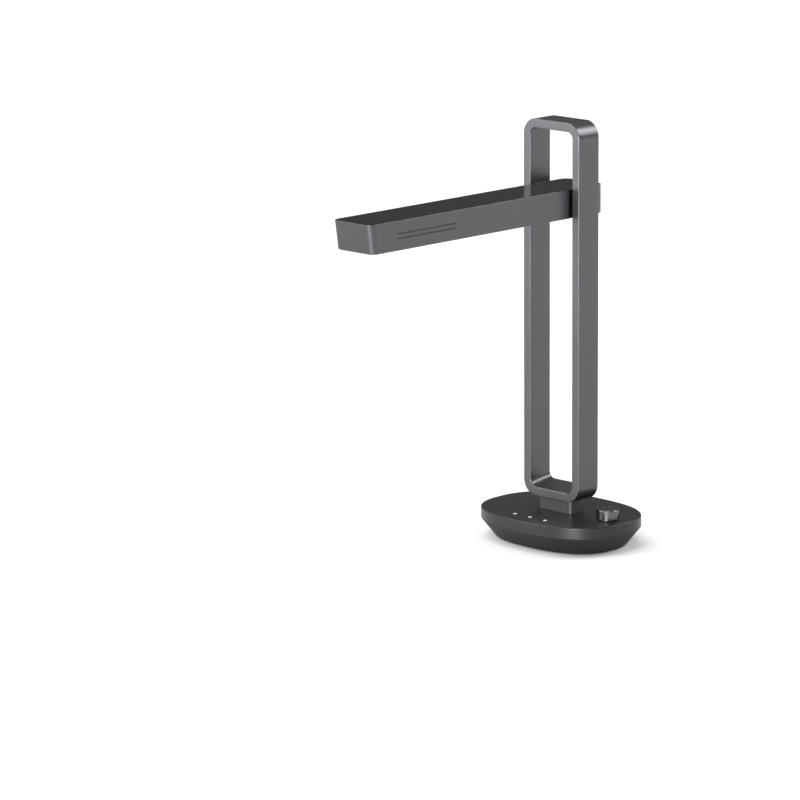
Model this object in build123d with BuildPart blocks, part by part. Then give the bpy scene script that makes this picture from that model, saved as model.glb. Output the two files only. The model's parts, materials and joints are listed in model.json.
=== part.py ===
from build123d import *
import math
import os

os.makedirs("parts", exist_ok=True)

# Document camera: a weighted oval base, a closed loop of flat tube standing on it, and a
# camera arm that hangs in the loop's window and folds down into it.
# Origin: centre of the base on the desk. +Z up, the arm points to -Y, +X to its right.
# Every length is in millimetres.

# Driving dimensions: base ---------------------------------------------------------------
base_width = 153.2           # along X, at the rim
base_depth = 112.8           # along Y, at the rim
base_height = 28.3           # desk to the flat top of the base
base_squareness = 2.5        # exponent of the oval: 2 is an ellipse, higher is squarer
outline_points = 24          # points on the oval's smooth curve
rim_height = 10.5            # upright band round the top cover
foot_inset = 13.0            # how far the lower shell draws in from rim to foot
foot_round = 2.5             # rounded lower edge of the shell
rim_round = 1.3              # rounded upper edge of the rim
shell_wall = 2.2             # side walls of both base shells
cover_top = 2.4              # thickness of the cover's flat top
floor_wall = 2.0             # thickness of the lower shell's floor
pad_thickness = 1.5          # non-slip pad under the base
pad_proud = 0.8              # how far the pad stands below the shell
pad_margin = 2.0             # shell floor left round the pad
ballast_thickness = 7.0
board_thickness = 1.6        # printed circuit boards

# Driving dimensions: neck and column -----------------------------------------------------
overall_height = 385.0       # desk to the top of the column
neck_height = 11.7
neck_width = 44.0
neck_depth = 19.5
neck_radius = 6.0
column_width = 67.3
column_depth = 26.1
column_section = 8.34        # thickness of the flat tube, seen from the front
column_radius = 14.5         # outer corners of the loop
column_edge = 0.7            # rounded long edges of the tube
tube_wall = 2.2
column_bolt_spacing = 30.0
column_bolt_diameter = 4.0

# Driving dimensions: hinge ----------------------------------------------------------------
pivot_drop = 72.3            # top of the column down to the hinge axis
hinge_gap = 2.0              # between each side of the arm and the column's leg
tip_gap = 1.3                # between the folded arm's tip and the bottom of the window
stub_diameter = 9.0          # hollow hinge shaft
stub_bore = 6.0              # way through the shaft for the cable
stub_reach = 12.9            # length of the shaft from the leg's inner face
flange_height = 26.0
flange_depth = 18.0
flange_thickness = 1.3
hinge_screw_spacing = 18.0
clip_wall = 3.0              # metal of the friction clip round the shaft
clip_width = 7.6
clip_foot_thickness = 2.5
washer_rim = 3.5             # how far the plastic washers stand out round the shaft

# Driving dimensions: arm -------------------------------------------------------------------
arm_rear = 31.5              # hinge axis to the arm's rear end
arm_slant = 3.65             # how far the front end leans back from top to bottom
arm_radius = 7.4             # upright corners of the arm
arm_wall = 2.4               # side walls below the panel's ledge
arm_floor = 1.8
panel_rim = 0.9              # thin metal rim left round the black top panel
panel_thickness = 1.8
arm_top_edge = 0.4
arm_bottom_edge = 1.0
camera_setback = 24.0        # front end to the camera's axis
bezel_diameter = 18.0
barrel_diameter = 13.0
window_diameter = 12.8
lamp_length = 140.0
lamp_width = 15.0
lamp_setback = 48.0          # front end to the lamp's front end
lamp_count = 14
vent_rows = 2
vent_count = 24
vent_pitch = 3.0
vent_row_pitch = 4.1
vent_slot = (2.1, 1.0)
vent_setback = 34.5          # front end to the first vent slot
vent_drop = 11.3             # arm's top face to the upper row of slots

# Driving dimensions: controls and sockets ----------------------------------------------------
knob_diameter = 20.5
knob_height = 10.0           # base top to the knob's top, with the gap under it
press_travel = 0.8           # how far the knob goes down when it is pressed
press_room = 0.4             # space left under the knob when it is down
knob_shell = 1.2
knob_inset = 19.6            # right end of the rim to the knob's axis
knob_y = 0.6
encoder_size = 12.0
shaft_diameter = 6.0
bushing_diameter = 7.6
key_spacing = 18.5
key_setback = 15.9           # front of the rim to the keys
key_diameter = 4.0
socket_spacing = 30.0        # USB socket to power socket, along X
usb_width = 8.94
usb_height = 3.26
power_block = 8.0            # width of the power socket's block
power_block_height = 6.8
power_bore = 5.7             # hole that takes the plug's barrel
power_pin = 2.0
cable_diameter = 3.0
cable_lane = 6.6             # the cable's distance behind the middle of the column

# Clearances ----------------------------------------------------------------------------------
fit_clearance = 0.05         # running fit of shafts, and screws in their holes
seat_clearance = 0.15        # covers, panels and boards in their seats
hinge_play = 0.1             # each side of a hinge washer

# Worked-out sizes ------------------------------------------------------------------------------
rim_bottom = base_height - rim_height
floor_bottom = pad_proud
floor_top = floor_bottom + (pad_thickness - pad_proud) + floor_wall
ceiling = base_height - cover_top
column_bottom = base_height + neck_height
column_height = overall_height - column_bottom
column_middle = column_bottom + column_height / 2
window_width = column_width - 2 * column_section
window_bottom = column_bottom + column_section
window_radius = column_radius - column_section
tube_middle_x = column_width / 2 - column_section / 2
channel = column_section - 2 * tube_wall
pivot_height = overall_height - pivot_drop
arm_width = window_width - 2 * hinge_gap
arm_height = column_depth
arm_front = pivot_height - window_bottom - tip_gap
arm_top = arm_height / 2
arm_under = -arm_height / 2
arm_inner_floor = arm_under + arm_floor
arm_ceiling = arm_top - panel_thickness
arm_inner_width = arm_width - 2 * arm_wall
stub_radius = stub_diameter / 2
camera_y = camera_setback - arm_front
lamp_y = lamp_setback + lamp_length / 2 - arm_front
column_bolt_radius = column_bolt_diameter / 2
key_y = key_setback - base_depth / 2
knob_x = base_width / 2 - knob_inset
knob_gap = press_travel + press_room
sides = (("left", -1), ("right", 1))


def base_oval(inset):
    """Outline of the base drawn in by inset: a squared oval through points of its own formula."""
    half_width = base_width / 2 - inset
    half_depth = base_depth / 2 - inset
    power = 2 / base_squareness
    points = []
    for step in range(outline_points):
        angle = 2 * math.pi * (step + 0.5) / outline_points
        across = math.copysign(abs(math.cos(angle)) ** power, math.cos(angle))
        along = math.copysign(abs(math.sin(angle)) ** power, math.sin(angle))
        points.append((half_width * across, half_depth * along))
    with BuildLine() as outline:
        Spline(*points, periodic=True)
    make_face(outline.edges())


def oval_y(x, inset):
    """Distance of the oval's rear edge from the middle, at x."""
    half_width = base_width / 2 - inset
    half_depth = base_depth / 2 - inset
    return half_depth * (1 - abs(x / half_width) ** base_squareness) ** (1 / base_squareness)


def taper_inset(height):
    """How far the lower shell has drawn in at a height above the desk."""
    return foot_inset * (rim_bottom - height) / (rim_bottom - floor_bottom)


def arm_outline(inset, level):
    """Plan of the arm at a level above the hinge axis, drawn in by inset."""
    lean = arm_slant * (arm_top - level) / arm_height
    front = lean + inset - arm_front
    rear = arm_rear - inset
    with Locations((0, (front + rear) / 2)):
        RectangleRounded(arm_width - 2 * inset, rear - front, arm_radius - inset)


def arm_plane(level):
    """Level plane at a height above or below the hinge axis."""
    return Plane.XY.offset(pivot_height + level)


def column_plane():
    """Upright plane through the middle of the column, seen from the front."""
    return Plane(origin=(0, 0, column_middle), x_dir=(1, 0, 0), z_dir=(0, -1, 0))


def socket_plane(x, level):
    """Upright plane at the rear of the base, square to Y, its normal towards the front."""
    return Plane(origin=(x, socket_face, level), x_dir=(1, 0, 0), z_dir=(0, -1, 0))


def hinge_plane(side, depth):
    """Upright plane square to the hinge axis, at a depth from the leg's inner face to the arm."""
    return Plane(
        origin=(side * (window_width / 2 - depth), 0, pivot_height),
        x_dir=(0, -side, 0),
        z_dir=(-side, 0, 0),
    )


def pan_screw(radius, length):
    """Cross-head screw at the current place: head below, shank along its +Z."""
    head = 1.2 * radius
    Cylinder(radius, length, align=(Align.CENTER, Align.CENTER, Align.MIN))
    Cylinder(1.9 * radius, head, align=(Align.CENTER, Align.CENTER, Align.MAX))
    for turn in (0, 90):
        with Locations(Location((0, 0, -head), (0, 0, turn))):
            Box(2.2 * radius, 0.5 * radius, radius, mode=Mode.SUBTRACT)


def flush_screw(radius, head_radius, length):
    """Countersunk cross-head screw at the current place: head face at Z 0, shank along its +Z."""
    Cylinder(radius, length, align=(Align.CENTER, Align.CENTER, Align.MIN))
    Cone(head_radius, radius, head_radius - radius, align=(Align.CENTER, Align.CENTER, Align.MIN))
    for turn in (0, 90):
        with Locations(Location((0, 0, 0), (0, 0, turn))):
            Box(1.1 * head_radius, 0.25 * head_radius, head_radius - radius, mode=Mode.SUBTRACT)


# Non-slip pad: one flat silicone pad glued into the recess under the base.
pad_inset = foot_inset + foot_round + pad_margin
with BuildPart() as non_slip_pad:
    with BuildSketch():
        base_oval(pad_inset + seat_clearance)
    extrude(amount=pad_thickness)
    fillet(non_slip_pad.edges().group_by(Axis.Z)[0], 0.3)
non_slip_pad.part.label = "non_slip_pad"
export_step(non_slip_pad.part, "parts/non_slip_pad.step")

# Lower shell: a tub that draws in towards the desk, with a lip that enters the cover.
base_screw_x = base_width / 2 - 36.0
base_screw_y = base_depth / 2 - 33.0
base_screw_grid = (2 * base_screw_x, 2 * base_screw_y, 2, 2)
base_screw_radius = 1.5
base_screw_head = 2.8
lip_height = 2.0
lip_wall = 1.3
with BuildPart() as base_bottom_shell:
    with BuildSketch(Plane.XY.offset(floor_bottom)):
        base_oval(taper_inset(floor_bottom))
    with BuildSketch(Plane.XY.offset(rim_bottom)):
        base_oval(taper_inset(rim_bottom))
    loft()
    fillet(base_bottom_shell.edges().group_by(Axis.Z)[0], foot_round)
    lip_foot = rim_bottom - 2 * lip_wall
    with BuildSketch(Plane.XY.offset(lip_foot)):
        base_oval(shell_wall + seat_clearance)
    extrude(amount=rim_bottom + lip_height - lip_foot)
    with BuildSketch(Plane.XY.offset(floor_top)):
        base_oval(taper_inset(floor_top) + shell_wall)
    with BuildSketch(Plane.XY.offset(lip_foot)):
        base_oval(shell_wall + seat_clearance + lip_wall)
    loft(mode=Mode.SUBTRACT)
    with BuildSketch(Plane.XY.offset(lip_foot)):
        base_oval(shell_wall + seat_clearance + lip_wall)
    extrude(amount=rim_bottom + lip_height - lip_foot, mode=Mode.SUBTRACT)
    with BuildSketch(Plane.XY.offset(floor_bottom)):
        base_oval(pad_inset)
    extrude(amount=pad_thickness - pad_proud, mode=Mode.SUBTRACT)
    with Locations(Plane.XY.offset(pad_thickness) * Rot(180, 0, 0)):
        with GridLocations(*base_screw_grid):
            CounterSinkHole(base_screw_radius + seat_clearance, base_screw_head + seat_clearance)
    # the lip stops either side of the sockets
    with BuildSketch(Plane.XY.offset(rim_bottom)):
        with Locations((0, base_depth / 2)):
            Rectangle(socket_spacing + power_block + 8, base_depth / 3)
    extrude(amount=lip_height, mode=Mode.SUBTRACT)
base_bottom_shell.part.label = "base_bottom_shell"
export_step(base_bottom_shell.part, "parts/base_bottom_shell.step")

# Base screws: four countersunk screws, hidden by the pad, that clamp floor, ballast and cover.
ballast_top = floor_top + ballast_thickness
base_screw_length = ballast_top + 6.0 - pad_thickness
with BuildPart() as base_screws:
    with Locations(Plane.XY.offset(pad_thickness)):
        with GridLocations(*base_screw_grid):
            flush_screw(base_screw_radius, base_screw_head, base_screw_length)
base_screws.part.label = "base_screws"
export_step(base_screws.part, "parts/base_screws.step")

# Ballast: a cast iron plate on the floor that keeps the camera standing with its arm out.
ballast_gap = 1.0
ballast_inset = taper_inset(floor_top) + shell_wall + ballast_gap
with BuildPart() as ballast_plate:
    with BuildSketch(Plane.XY.offset(floor_top)):
        base_oval(ballast_inset)
    extrude(amount=ballast_thickness)
    chamfer(ballast_plate.edges().group_by(Axis.Z)[-1], 0.8)
    with Locations(Plane.XY.offset(ballast_top)):
        with GridLocations(*base_screw_grid):
            Hole(base_screw_radius + seat_clearance)
ballast_plate.part.label = "ballast_plate"
export_step(ballast_plate.part, "parts/ballast_plate.step")

# Top cover: flat top, upright rim, bosses for the screws and posts for the boards.
board_bottom = rim_bottom - 0.8
board_top = board_bottom + board_thickness
socket_recess = 0.6
socket_face = oval_y(socket_spacing / 2 + power_block / 2, 0) - socket_recess
plate_width = neck_width + 14.0
plate_depth = neck_depth + 5.5
board_width = 62.0
board_front = plate_depth / 2 + 2.5
board_rear = socket_face - 7.1
board_middle = (board_front + board_rear) / 2
board_post_grid = (board_width - 8, board_rear - board_front - 10, 2, 2)
board_screw_radius = 1.0
board_thread = 5.0
usb_x = -socket_spacing / 2
power_x = socket_spacing / 2
usb_level = board_top + usb_height / 2 + 0.1
power_level = board_top + power_block_height / 2
power_nose = power_bore / 2 + 0.5
touch_level = ceiling - 4.0
touch_thread = 2.2
touch_board_width = 56.0
touch_board_depth = 10.0
touch_post_grid = (touch_board_width - 8, 1, 2, 1)
key_grid = (key_spacing, 1, 3, 1)
bushing_radius = bushing_diameter / 2
cable_radius = cable_diameter / 2
cable_x = -6.0
cable_hole = cable_radius + 0.4
boss_radius = 3.5
post_radius = 2.6
with BuildPart() as base_top_cover:
    with BuildSketch(Plane.XY.offset(rim_bottom)):
        base_oval(0)
    extrude(amount=rim_height)
    fillet(base_top_cover.edges().group_by(Axis.Z)[-1], rim_round)
    with BuildSketch(Plane.XY.offset(rim_bottom)):
        base_oval(shell_wall)
    extrude(amount=ceiling - rim_bottom, mode=Mode.SUBTRACT)
    with BuildSketch(Plane.XY.offset(ballast_top)):
        with GridLocations(*base_screw_grid):
            Circle(boss_radius)
    extrude(amount=ceiling - ballast_top)
    with Locations(Plane.XY.offset(ballast_top) * Rot(180, 0, 0)):
        with GridLocations(*base_screw_grid):
            Hole(base_screw_radius + fit_clearance, depth=ceiling - ballast_top - 2)
    with BuildSketch(Plane.XY.offset(board_top)):
        with Locations((0, board_middle)):
            with GridLocations(*board_post_grid):
                Circle(post_radius)
    extrude(amount=ceiling - board_top)
    with Locations(Plane.XY.offset(board_top) * Location((0, board_middle, 0), (180, 0, 0))):
        with GridLocations(*board_post_grid):
            Hole(board_screw_radius + fit_clearance, depth=board_thread)
    with BuildSketch(Plane.XY.offset(touch_level + board_thickness)):
        with Locations((0, key_y)):
            with GridLocations(*touch_post_grid):
                Circle(post_radius)
    extrude(amount=ceiling - touch_level - board_thickness)
    touch_post_foot = Plane.XY.offset(touch_level + board_thickness)
    with Locations(touch_post_foot * Location((0, key_y, 0), (180, 0, 0))):
        with GridLocations(*touch_post_grid):
            Hole(board_screw_radius + fit_clearance, depth=touch_thread + 1)
    with BuildSketch(Plane.XY.offset(ceiling)):
        with Locations((0, key_y)):
            with GridLocations(*key_grid):
                Circle(key_diameter / 2 + seat_clearance)
        with Locations((knob_x, knob_y)):
            Circle(bushing_radius + seat_clearance)
        with GridLocations(column_bolt_spacing, 1, 2, 1):
            Circle(column_bolt_radius + seat_clearance)
        with Locations((cable_x, cable_lane)):
            Circle(cable_hole)
    extrude(amount=cover_top, mode=Mode.SUBTRACT)
    with BuildSketch(socket_plane(usb_x, usb_level)):
        SlotOverall(usb_width + 2 * seat_clearance, usb_height + 2 * seat_clearance)
    extrude(amount=shell_wall + 4, both=True, mode=Mode.SUBTRACT)
    with BuildSketch(socket_plane(power_x, power_level)):
        Circle(power_nose + seat_clearance)
    extrude(amount=shell_wall + 4, both=True, mode=Mode.SUBTRACT)
base_top_cover.part.label = "base_top_cover"
export_step(base_top_cover.part, "parts/base_top_cover.step")

# Base board: the main circuit board, screwed up to the cover's posts behind the column.
with BuildPart() as base_board:
    with BuildSketch(Plane.XY.offset(board_bottom)):
        with Locations((0, board_middle)):
            RectangleRounded(board_width, board_rear - board_front, 2)
            with GridLocations(*board_post_grid):
                Circle(board_screw_radius + seat_clearance, mode=Mode.SUBTRACT)
    extrude(amount=board_thickness)
base_board.part.label = "base_board"
export_step(base_board.part, "parts/base_board.step")

# Board components: processor, memory and two chokes soldered to the base board.
chips = (
    ((12, board_middle - 5.5), (12, 12), 1.4),
    ((-2, board_middle + 2.5), (9, 7), 1.1),
    ((12, board_rear - 9), (5, 5), 3.0),
    ((2, board_rear - 7), (5, 5), 3.0),
)
with BuildPart() as board_chips:
    for place, size, height in chips:
        with BuildSketch(Plane.XY.offset(board_top)):
            with Locations(place):
                Rectangle(*size)
        extrude(amount=height)
board_chips.part.label = "board_chips"
export_step(board_chips.part, "parts/board_chips.step")

# Cable connector: the plug housing where the camera cable meets the base board.
connector_size = (8.0, 5.0, 4.0)
connector_y = board_front + 7.0
with BuildPart() as cable_connector:
    with BuildSketch(Plane.XY.offset(board_top)):
        with Locations((cable_x, connector_y)):
            Rectangle(connector_size[0], connector_size[1])
    extrude(amount=connector_size[2])
    chamfer(cable_connector.edges().group_by(Axis.Z)[-1], 0.4)
cable_connector.part.label = "cable_connector"
export_step(cable_connector.part, "parts/cable_connector.step")

# USB socket: an oval metal shell round a thin contact tongue, soldered to the board.
usb_depth = 8.6
usb_skin = 0.3
with BuildPart() as usb_socket:
    with BuildSketch(socket_plane(usb_x, usb_level)):
        SlotOverall(usb_width, usb_height)
    extrude(amount=usb_depth)
    with BuildSketch(socket_plane(usb_x, usb_level)):
        SlotOverall(usb_width - 2 * usb_skin, usb_height - 2 * usb_skin)
    extrude(amount=usb_depth - 2, mode=Mode.SUBTRACT)
    with BuildSketch(socket_plane(usb_x, usb_level).offset(1.2)):
        Rectangle(6.7, 0.7)
    extrude(amount=usb_depth - 2)
usb_socket.part.label = "usb_socket"
export_step(usb_socket.part, "parts/usb_socket.step")

# Power socket: a moulded block with a round nose in the rim and a centre pin in its bore.
power_depth = 11.0
power_nose_length = 3.4
with BuildPart() as power_socket:
    with BuildSketch(socket_plane(power_x, power_level)):
        Circle(power_nose)
    extrude(amount=power_depth)
    with BuildSketch(socket_plane(power_x, power_level).offset(power_nose_length)):
        Rectangle(power_block, power_block_height)
    extrude(amount=power_depth - power_nose_length)
    with BuildSketch(socket_plane(power_x, power_level)):
        Circle(power_bore / 2)
    extrude(amount=power_depth - 1.5, mode=Mode.SUBTRACT)
    with BuildSketch(socket_plane(power_x, power_level).offset(1.0)):
        Circle(power_pin / 2)
    extrude(amount=power_depth - 1.5)
power_socket.part.label = "power_socket"
export_step(power_socket.part, "parts/power_socket.step")

# Touch board: a narrow board under the three light keys at the front of the base.
with BuildPart() as touch_board:
    with BuildSketch(Plane.XY.offset(touch_level)):
        with Locations((0, key_y)):
            RectangleRounded(touch_board_width, touch_board_depth, 2)
            with GridLocations(*touch_post_grid):
                Circle(board_screw_radius + seat_clearance, mode=Mode.SUBTRACT)
    extrude(amount=board_thickness)
touch_board.part.label = "touch_board"
export_step(touch_board.part, "parts/touch_board.step")

# Light keys: three clear pins that glow through the cover, touched to work the lamp and camera.
key_bottom = touch_level + board_thickness
with BuildPart() as key_lights:
    with BuildSketch(Plane.XY.offset(key_bottom)):
        with Locations((0, key_y)):
            with GridLocations(*key_grid):
                Circle(key_diameter / 2)
    extrude(amount=base_height - key_bottom)
    fillet(key_lights.edges().group_by(Axis.Z)[-1], 0.2)
    with BuildSketch(Plane.XY.offset(key_bottom)):
        with Locations((0, key_y)):
            with GridLocations(*key_grid):
                Circle(key_diameter / 2 + 0.8)
    extrude(amount=1.2)
key_lights.part.label = "key_lights"
export_step(key_lights.part, "parts/key_lights.step")

# Board screws: four under the base board and two under the touch board.
with BuildPart() as board_screws:
    with Locations(Plane.XY.offset(board_bottom) * Location((0, board_middle, 0))):
        with GridLocations(*board_post_grid):
            pan_screw(board_screw_radius, board_thickness + board_thread - 0.5)
    with Locations(Plane.XY.offset(touch_level) * Location((0, key_y, 0))):
        with GridLocations(*touch_post_grid):
            pan_screw(board_screw_radius, board_thickness + touch_thread)
board_screws.part.label = "board_screws"
export_step(board_screws.part, "parts/board_screws.step")

# Foot plate: a steel plate under the cover that the column's bolts pull against.
plate_thickness = 3.0
with BuildPart() as foot_plate:
    with BuildSketch(Plane.XY.offset(ceiling - plate_thickness)):
        RectangleRounded(plate_width, plate_depth, 3)
        with GridLocations(column_bolt_spacing, 1, 2, 1):
            Circle(column_bolt_radius + seat_clearance, mode=Mode.SUBTRACT)
        with Locations((cable_x, cable_lane)):
            Circle(cable_hole, mode=Mode.SUBTRACT)
        with Locations((cable_x, cable_lane + neck_depth / 2)):
            Rectangle(2 * cable_hole, neck_depth, mode=Mode.SUBTRACT)
    extrude(amount=plate_thickness)
foot_plate.part.label = "foot_plate"
export_step(foot_plate.part, "parts/foot_plate.step")

# Neck: the block that lifts the column off the base, with the bolts and the cable inside.
with BuildPart() as neck_block:
    with BuildSketch(Plane.XY.offset(base_height)):
        RectangleRounded(neck_width, neck_depth, neck_radius)
        with GridLocations(column_bolt_spacing, 1, 2, 1):
            Circle(column_bolt_radius + seat_clearance, mode=Mode.SUBTRACT)
        with Locations((cable_x, cable_lane)):
            Circle(cable_hole, mode=Mode.SUBTRACT)
    extrude(amount=neck_height)
neck_block.part.label = "neck_block"
export_step(neck_block.part, "parts/neck_block.step")

# Column: flat rectangular tube bent and welded into an upright loop, hollow all the way round.
anchor_height = 30.0
anchor_depth = 17.0
hinge_screw_radius = 1.0
hinge_screw_head = 1.7
hinge_screw_grid = (12.0, hinge_screw_spacing, 2, 2)
with BuildPart() as column_loop:
    with BuildSketch(column_plane()):
        RectangleRounded(column_width, column_height, column_radius)
    extrude(amount=column_depth / 2, both=True)
    # the window's lower edge rises towards the rear, to meet the folded arm's leaning end
    for y, rise in ((-column_depth / 2, 0), (column_depth / 2, arm_slant)):
        with BuildSketch(column_plane().offset(-y)):
            with Locations((0, rise / 2)):
                RectangleRounded(
                    window_width, column_height - 2 * column_section - rise, window_radius
                )
    loft(mode=Mode.SUBTRACT)
    fillet(column_loop.faces().sort_by(Axis.Y)[0].edges(), column_edge)
    fillet(column_loop.faces().sort_by(Axis.Y)[-1].edges(), column_edge)
    with BuildSketch(column_plane()):
        RectangleRounded(
            column_width - 2 * tube_wall, column_height - 2 * tube_wall, column_radius - tube_wall
        )
        RectangleRounded(
            window_width + 2 * tube_wall,
            column_height - 2 * column_section + 2 * tube_wall,
            window_radius + tube_wall,
            mode=Mode.SUBTRACT,
        )
    extrude(amount=column_depth / 2 - tube_wall, both=True, mode=Mode.SUBTRACT)
    with BuildSketch(Plane.XY.offset(column_bottom)):
        with GridLocations(column_bolt_spacing, 1, 2, 1):
            Circle(column_bolt_radius + seat_clearance)
        with Locations((cable_x - cable_diameter / 2, cable_lane)):
            SlotCenterToCenter(cable_diameter, 2 * cable_hole)
    extrude(amount=tube_wall, mode=Mode.SUBTRACT)
    for name, side in sides:
        with BuildSketch(hinge_plane(side, -flange_thickness)):
            RectangleRounded(flange_depth + 2 * seat_clearance, flange_height + 2 * seat_clearance, 3)
        extrude(amount=flange_thickness, mode=Mode.SUBTRACT)
        with BuildSketch(hinge_plane(side, -tube_wall)):
            Circle(stub_bore / 2 + 0.4)
            with GridLocations(*hinge_screw_grid):
                Circle(hinge_screw_radius + seat_clearance)
        extrude(amount=tube_wall, mode=Mode.SUBTRACT)
column_loop.part.label = "column_loop"
export_step(column_loop.part, "parts/column_loop.step")

# Column nuts: two square nuts that lie in the tube above the neck.
nut_height = channel - 2 * seat_clearance
nut_bottom = column_bottom + tube_wall
with BuildPart() as column_nuts:
    with BuildSketch(Plane.XY.offset(nut_bottom)):
        with GridLocations(column_bolt_spacing, 1, 2, 1):
            Rectangle(2.2 * column_bolt_diameter, 2.2 * column_bolt_diameter)
            Circle(column_bolt_radius + fit_clearance, mode=Mode.SUBTRACT)
    extrude(amount=nut_height)
column_nuts.part.label = "column_nuts"
export_step(column_nuts.part, "parts/column_nuts.step")

# Column bolts: two hexagon socket bolts up through plate, cover, neck and tube into the nuts.
bolt_head_height = column_bolt_diameter
bolt_head_bottom = ceiling - plate_thickness - bolt_head_height
with BuildPart() as column_bolts:
    with BuildSketch(Plane.XY.offset(bolt_head_bottom)):
        with GridLocations(column_bolt_spacing, 1, 2, 1):
            Circle(0.875 * column_bolt_diameter)
    extrude(amount=bolt_head_height)
    with BuildSketch(Plane.XY.offset(ceiling - plate_thickness)):
        with GridLocations(column_bolt_spacing, 1, 2, 1):
            Circle(column_bolt_radius)
    extrude(amount=nut_bottom + nut_height - ceiling + plate_thickness)
    with BuildSketch(Plane.XY.offset(bolt_head_bottom)):
        with GridLocations(column_bolt_spacing, 1, 2, 1):
            RegularPolygon(0.43 * column_bolt_diameter, 6)
    extrude(amount=0.5 * bolt_head_height, mode=Mode.SUBTRACT)
column_bolts.part.label = "column_bolts"
export_step(column_bolts.part, "parts/column_bolts.step")

# Hinge anchors: steel bars inside the legs, slotted from below so that the cable can enter.
anchor_thickness = channel - 2 * seat_clearance
for name, side in sides:
    with BuildPart() as hinge_anchor:
        with BuildSketch(hinge_plane(side, -tube_wall - seat_clearance)):
            RectangleRounded(anchor_depth, anchor_height, 1)
            Circle(stub_bore / 2, mode=Mode.SUBTRACT)
            with Locations((0, -anchor_height / 2)):
                Rectangle(stub_bore, anchor_height, mode=Mode.SUBTRACT)
            with GridLocations(*hinge_screw_grid):
                Circle(hinge_screw_radius + fit_clearance, mode=Mode.SUBTRACT)
        extrude(amount=-anchor_thickness)
    hinge_anchor.part.label = f"hinge_anchor_{name}"
    export_step(hinge_anchor.part, f"parts/hinge_anchor_{name}.step")

# Hinge stubs: flanged hollow shafts let into the legs, which carry the arm.
for name, side in sides:
    with BuildPart() as hinge_stub:
        with BuildSketch(hinge_plane(side, -flange_thickness)):
            RectangleRounded(flange_depth, flange_height, 3 - seat_clearance)
        extrude(amount=flange_thickness)
        with BuildSketch(hinge_plane(side, 0)):
            Circle(stub_radius)
        extrude(amount=stub_reach)
        stub_rims = hinge_stub.edges().filter_by(GeomType.CIRCLE).sort_by(Axis.X)
        chamfer(stub_rims[0] if side > 0 else stub_rims[-1], 0.4)
        with Locations(hinge_plane(side, stub_reach)):
            Hole(stub_bore / 2)
        with Locations(hinge_plane(side, 0)):
            with GridLocations(*hinge_screw_grid):
                CounterSinkHole(hinge_screw_radius + seat_clearance, hinge_screw_head + seat_clearance)
    hinge_stub.part.label = f"hinge_stub_{name}"
    export_step(hinge_stub.part, f"parts/hinge_stub_{name}.step")

# Hinge screws: four countersunk screws in each flange, into the anchor behind it.
with BuildPart() as hinge_screws:
    for name, side in sides:
        with Locations(hinge_plane(side, 0) * Rot(180, 0, 0)):
            with GridLocations(*hinge_screw_grid):
                flush_screw(hinge_screw_radius, hinge_screw_head, tube_wall + anchor_thickness - 0.4)
hinge_screws.part.label = "hinge_screws"
export_step(hinge_screws.part, "parts/hinge_screws.step")

# Column cable: from the base board up through the neck, round the tube and up the left leg,
# into the hollow hinge shaft.
cable_level = board_top + 2.4
tube_low = column_bottom + column_section / 2
cable_start = connector_y - connector_size[1] / 2
cable_turn = 5.0
tube_turn = column_radius - column_section / 2
cable_meet = -(window_width / 2 - stub_reach / 2)
with BuildPart() as column_cable:
    with BuildLine() as column_route:
        FilletPolyline(
            (cable_x, cable_start, cable_level),
            (cable_x, cable_lane, cable_level),
            (cable_x, cable_lane, tube_low),
            (-tube_middle_x, cable_lane, tube_low),
            (-tube_middle_x, cable_lane, tube_low + 40),
            (-tube_middle_x, 0, tube_low + 90),
            (-tube_middle_x, 0, pivot_height),
            (cable_meet, 0, pivot_height),
            radius=[cable_turn, cable_turn, tube_turn, 60.0, 60.0, cable_turn],
        )
    with BuildSketch(Plane(origin=column_route.wire() @ 0, z_dir=column_route.wire() % 0)):
        Circle(cable_radius)
    sweep(path=column_route.wire())
column_cable.part.label = "column_cable"
export_step(column_cable.part, "parts/column_cable.step")

# Encoder body: a turn-and-press control under the cover, with its threaded bushing above it.
encoder_bottom = ceiling - 6.5
encoder_board_thickness = 1.2
cavity_radius = 4.1
cavity_bottom = encoder_bottom + 0.8
cavity_top = ceiling - 1.2
shaft_radius = shaft_diameter / 2
bushing_top = base_height + 2.3
with BuildPart() as encoder_body:
    with BuildSketch(Plane.XY.offset(encoder_bottom)):
        with Locations((knob_x, knob_y)):
            Rectangle(encoder_size, encoder_size)
    extrude(amount=ceiling - encoder_bottom)
    with BuildSketch(Plane.XY.offset(ceiling)):
        with Locations((knob_x, knob_y)):
            Circle(bushing_radius)
    extrude(amount=bushing_top - ceiling)
    with BuildSketch(Plane.XY.offset(cavity_bottom)):
        with Locations((knob_x, knob_y)):
            Circle(cavity_radius)
    extrude(amount=cavity_top - cavity_bottom, mode=Mode.SUBTRACT)
    with BuildSketch(Plane.XY.offset(cavity_top)):
        with Locations((knob_x, knob_y)):
            Circle(shaft_radius + fit_clearance)
    extrude(amount=bushing_top - cavity_top, mode=Mode.SUBTRACT)
encoder_body.part.label = "encoder_body"
export_step(encoder_body.part, "parts/encoder_body.step")

# Encoder board: the small board that the encoder is soldered to.
with BuildPart() as encoder_board:
    with BuildSketch(Plane.XY.offset(encoder_bottom - encoder_board_thickness)):
        with Locations((knob_x, knob_y)):
            RectangleRounded(encoder_size + 4, encoder_size + 8, 1.5)
    extrude(amount=encoder_board_thickness)
encoder_board.part.label = "encoder_board"
export_step(encoder_board.part, "parts/encoder_board.step")

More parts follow.
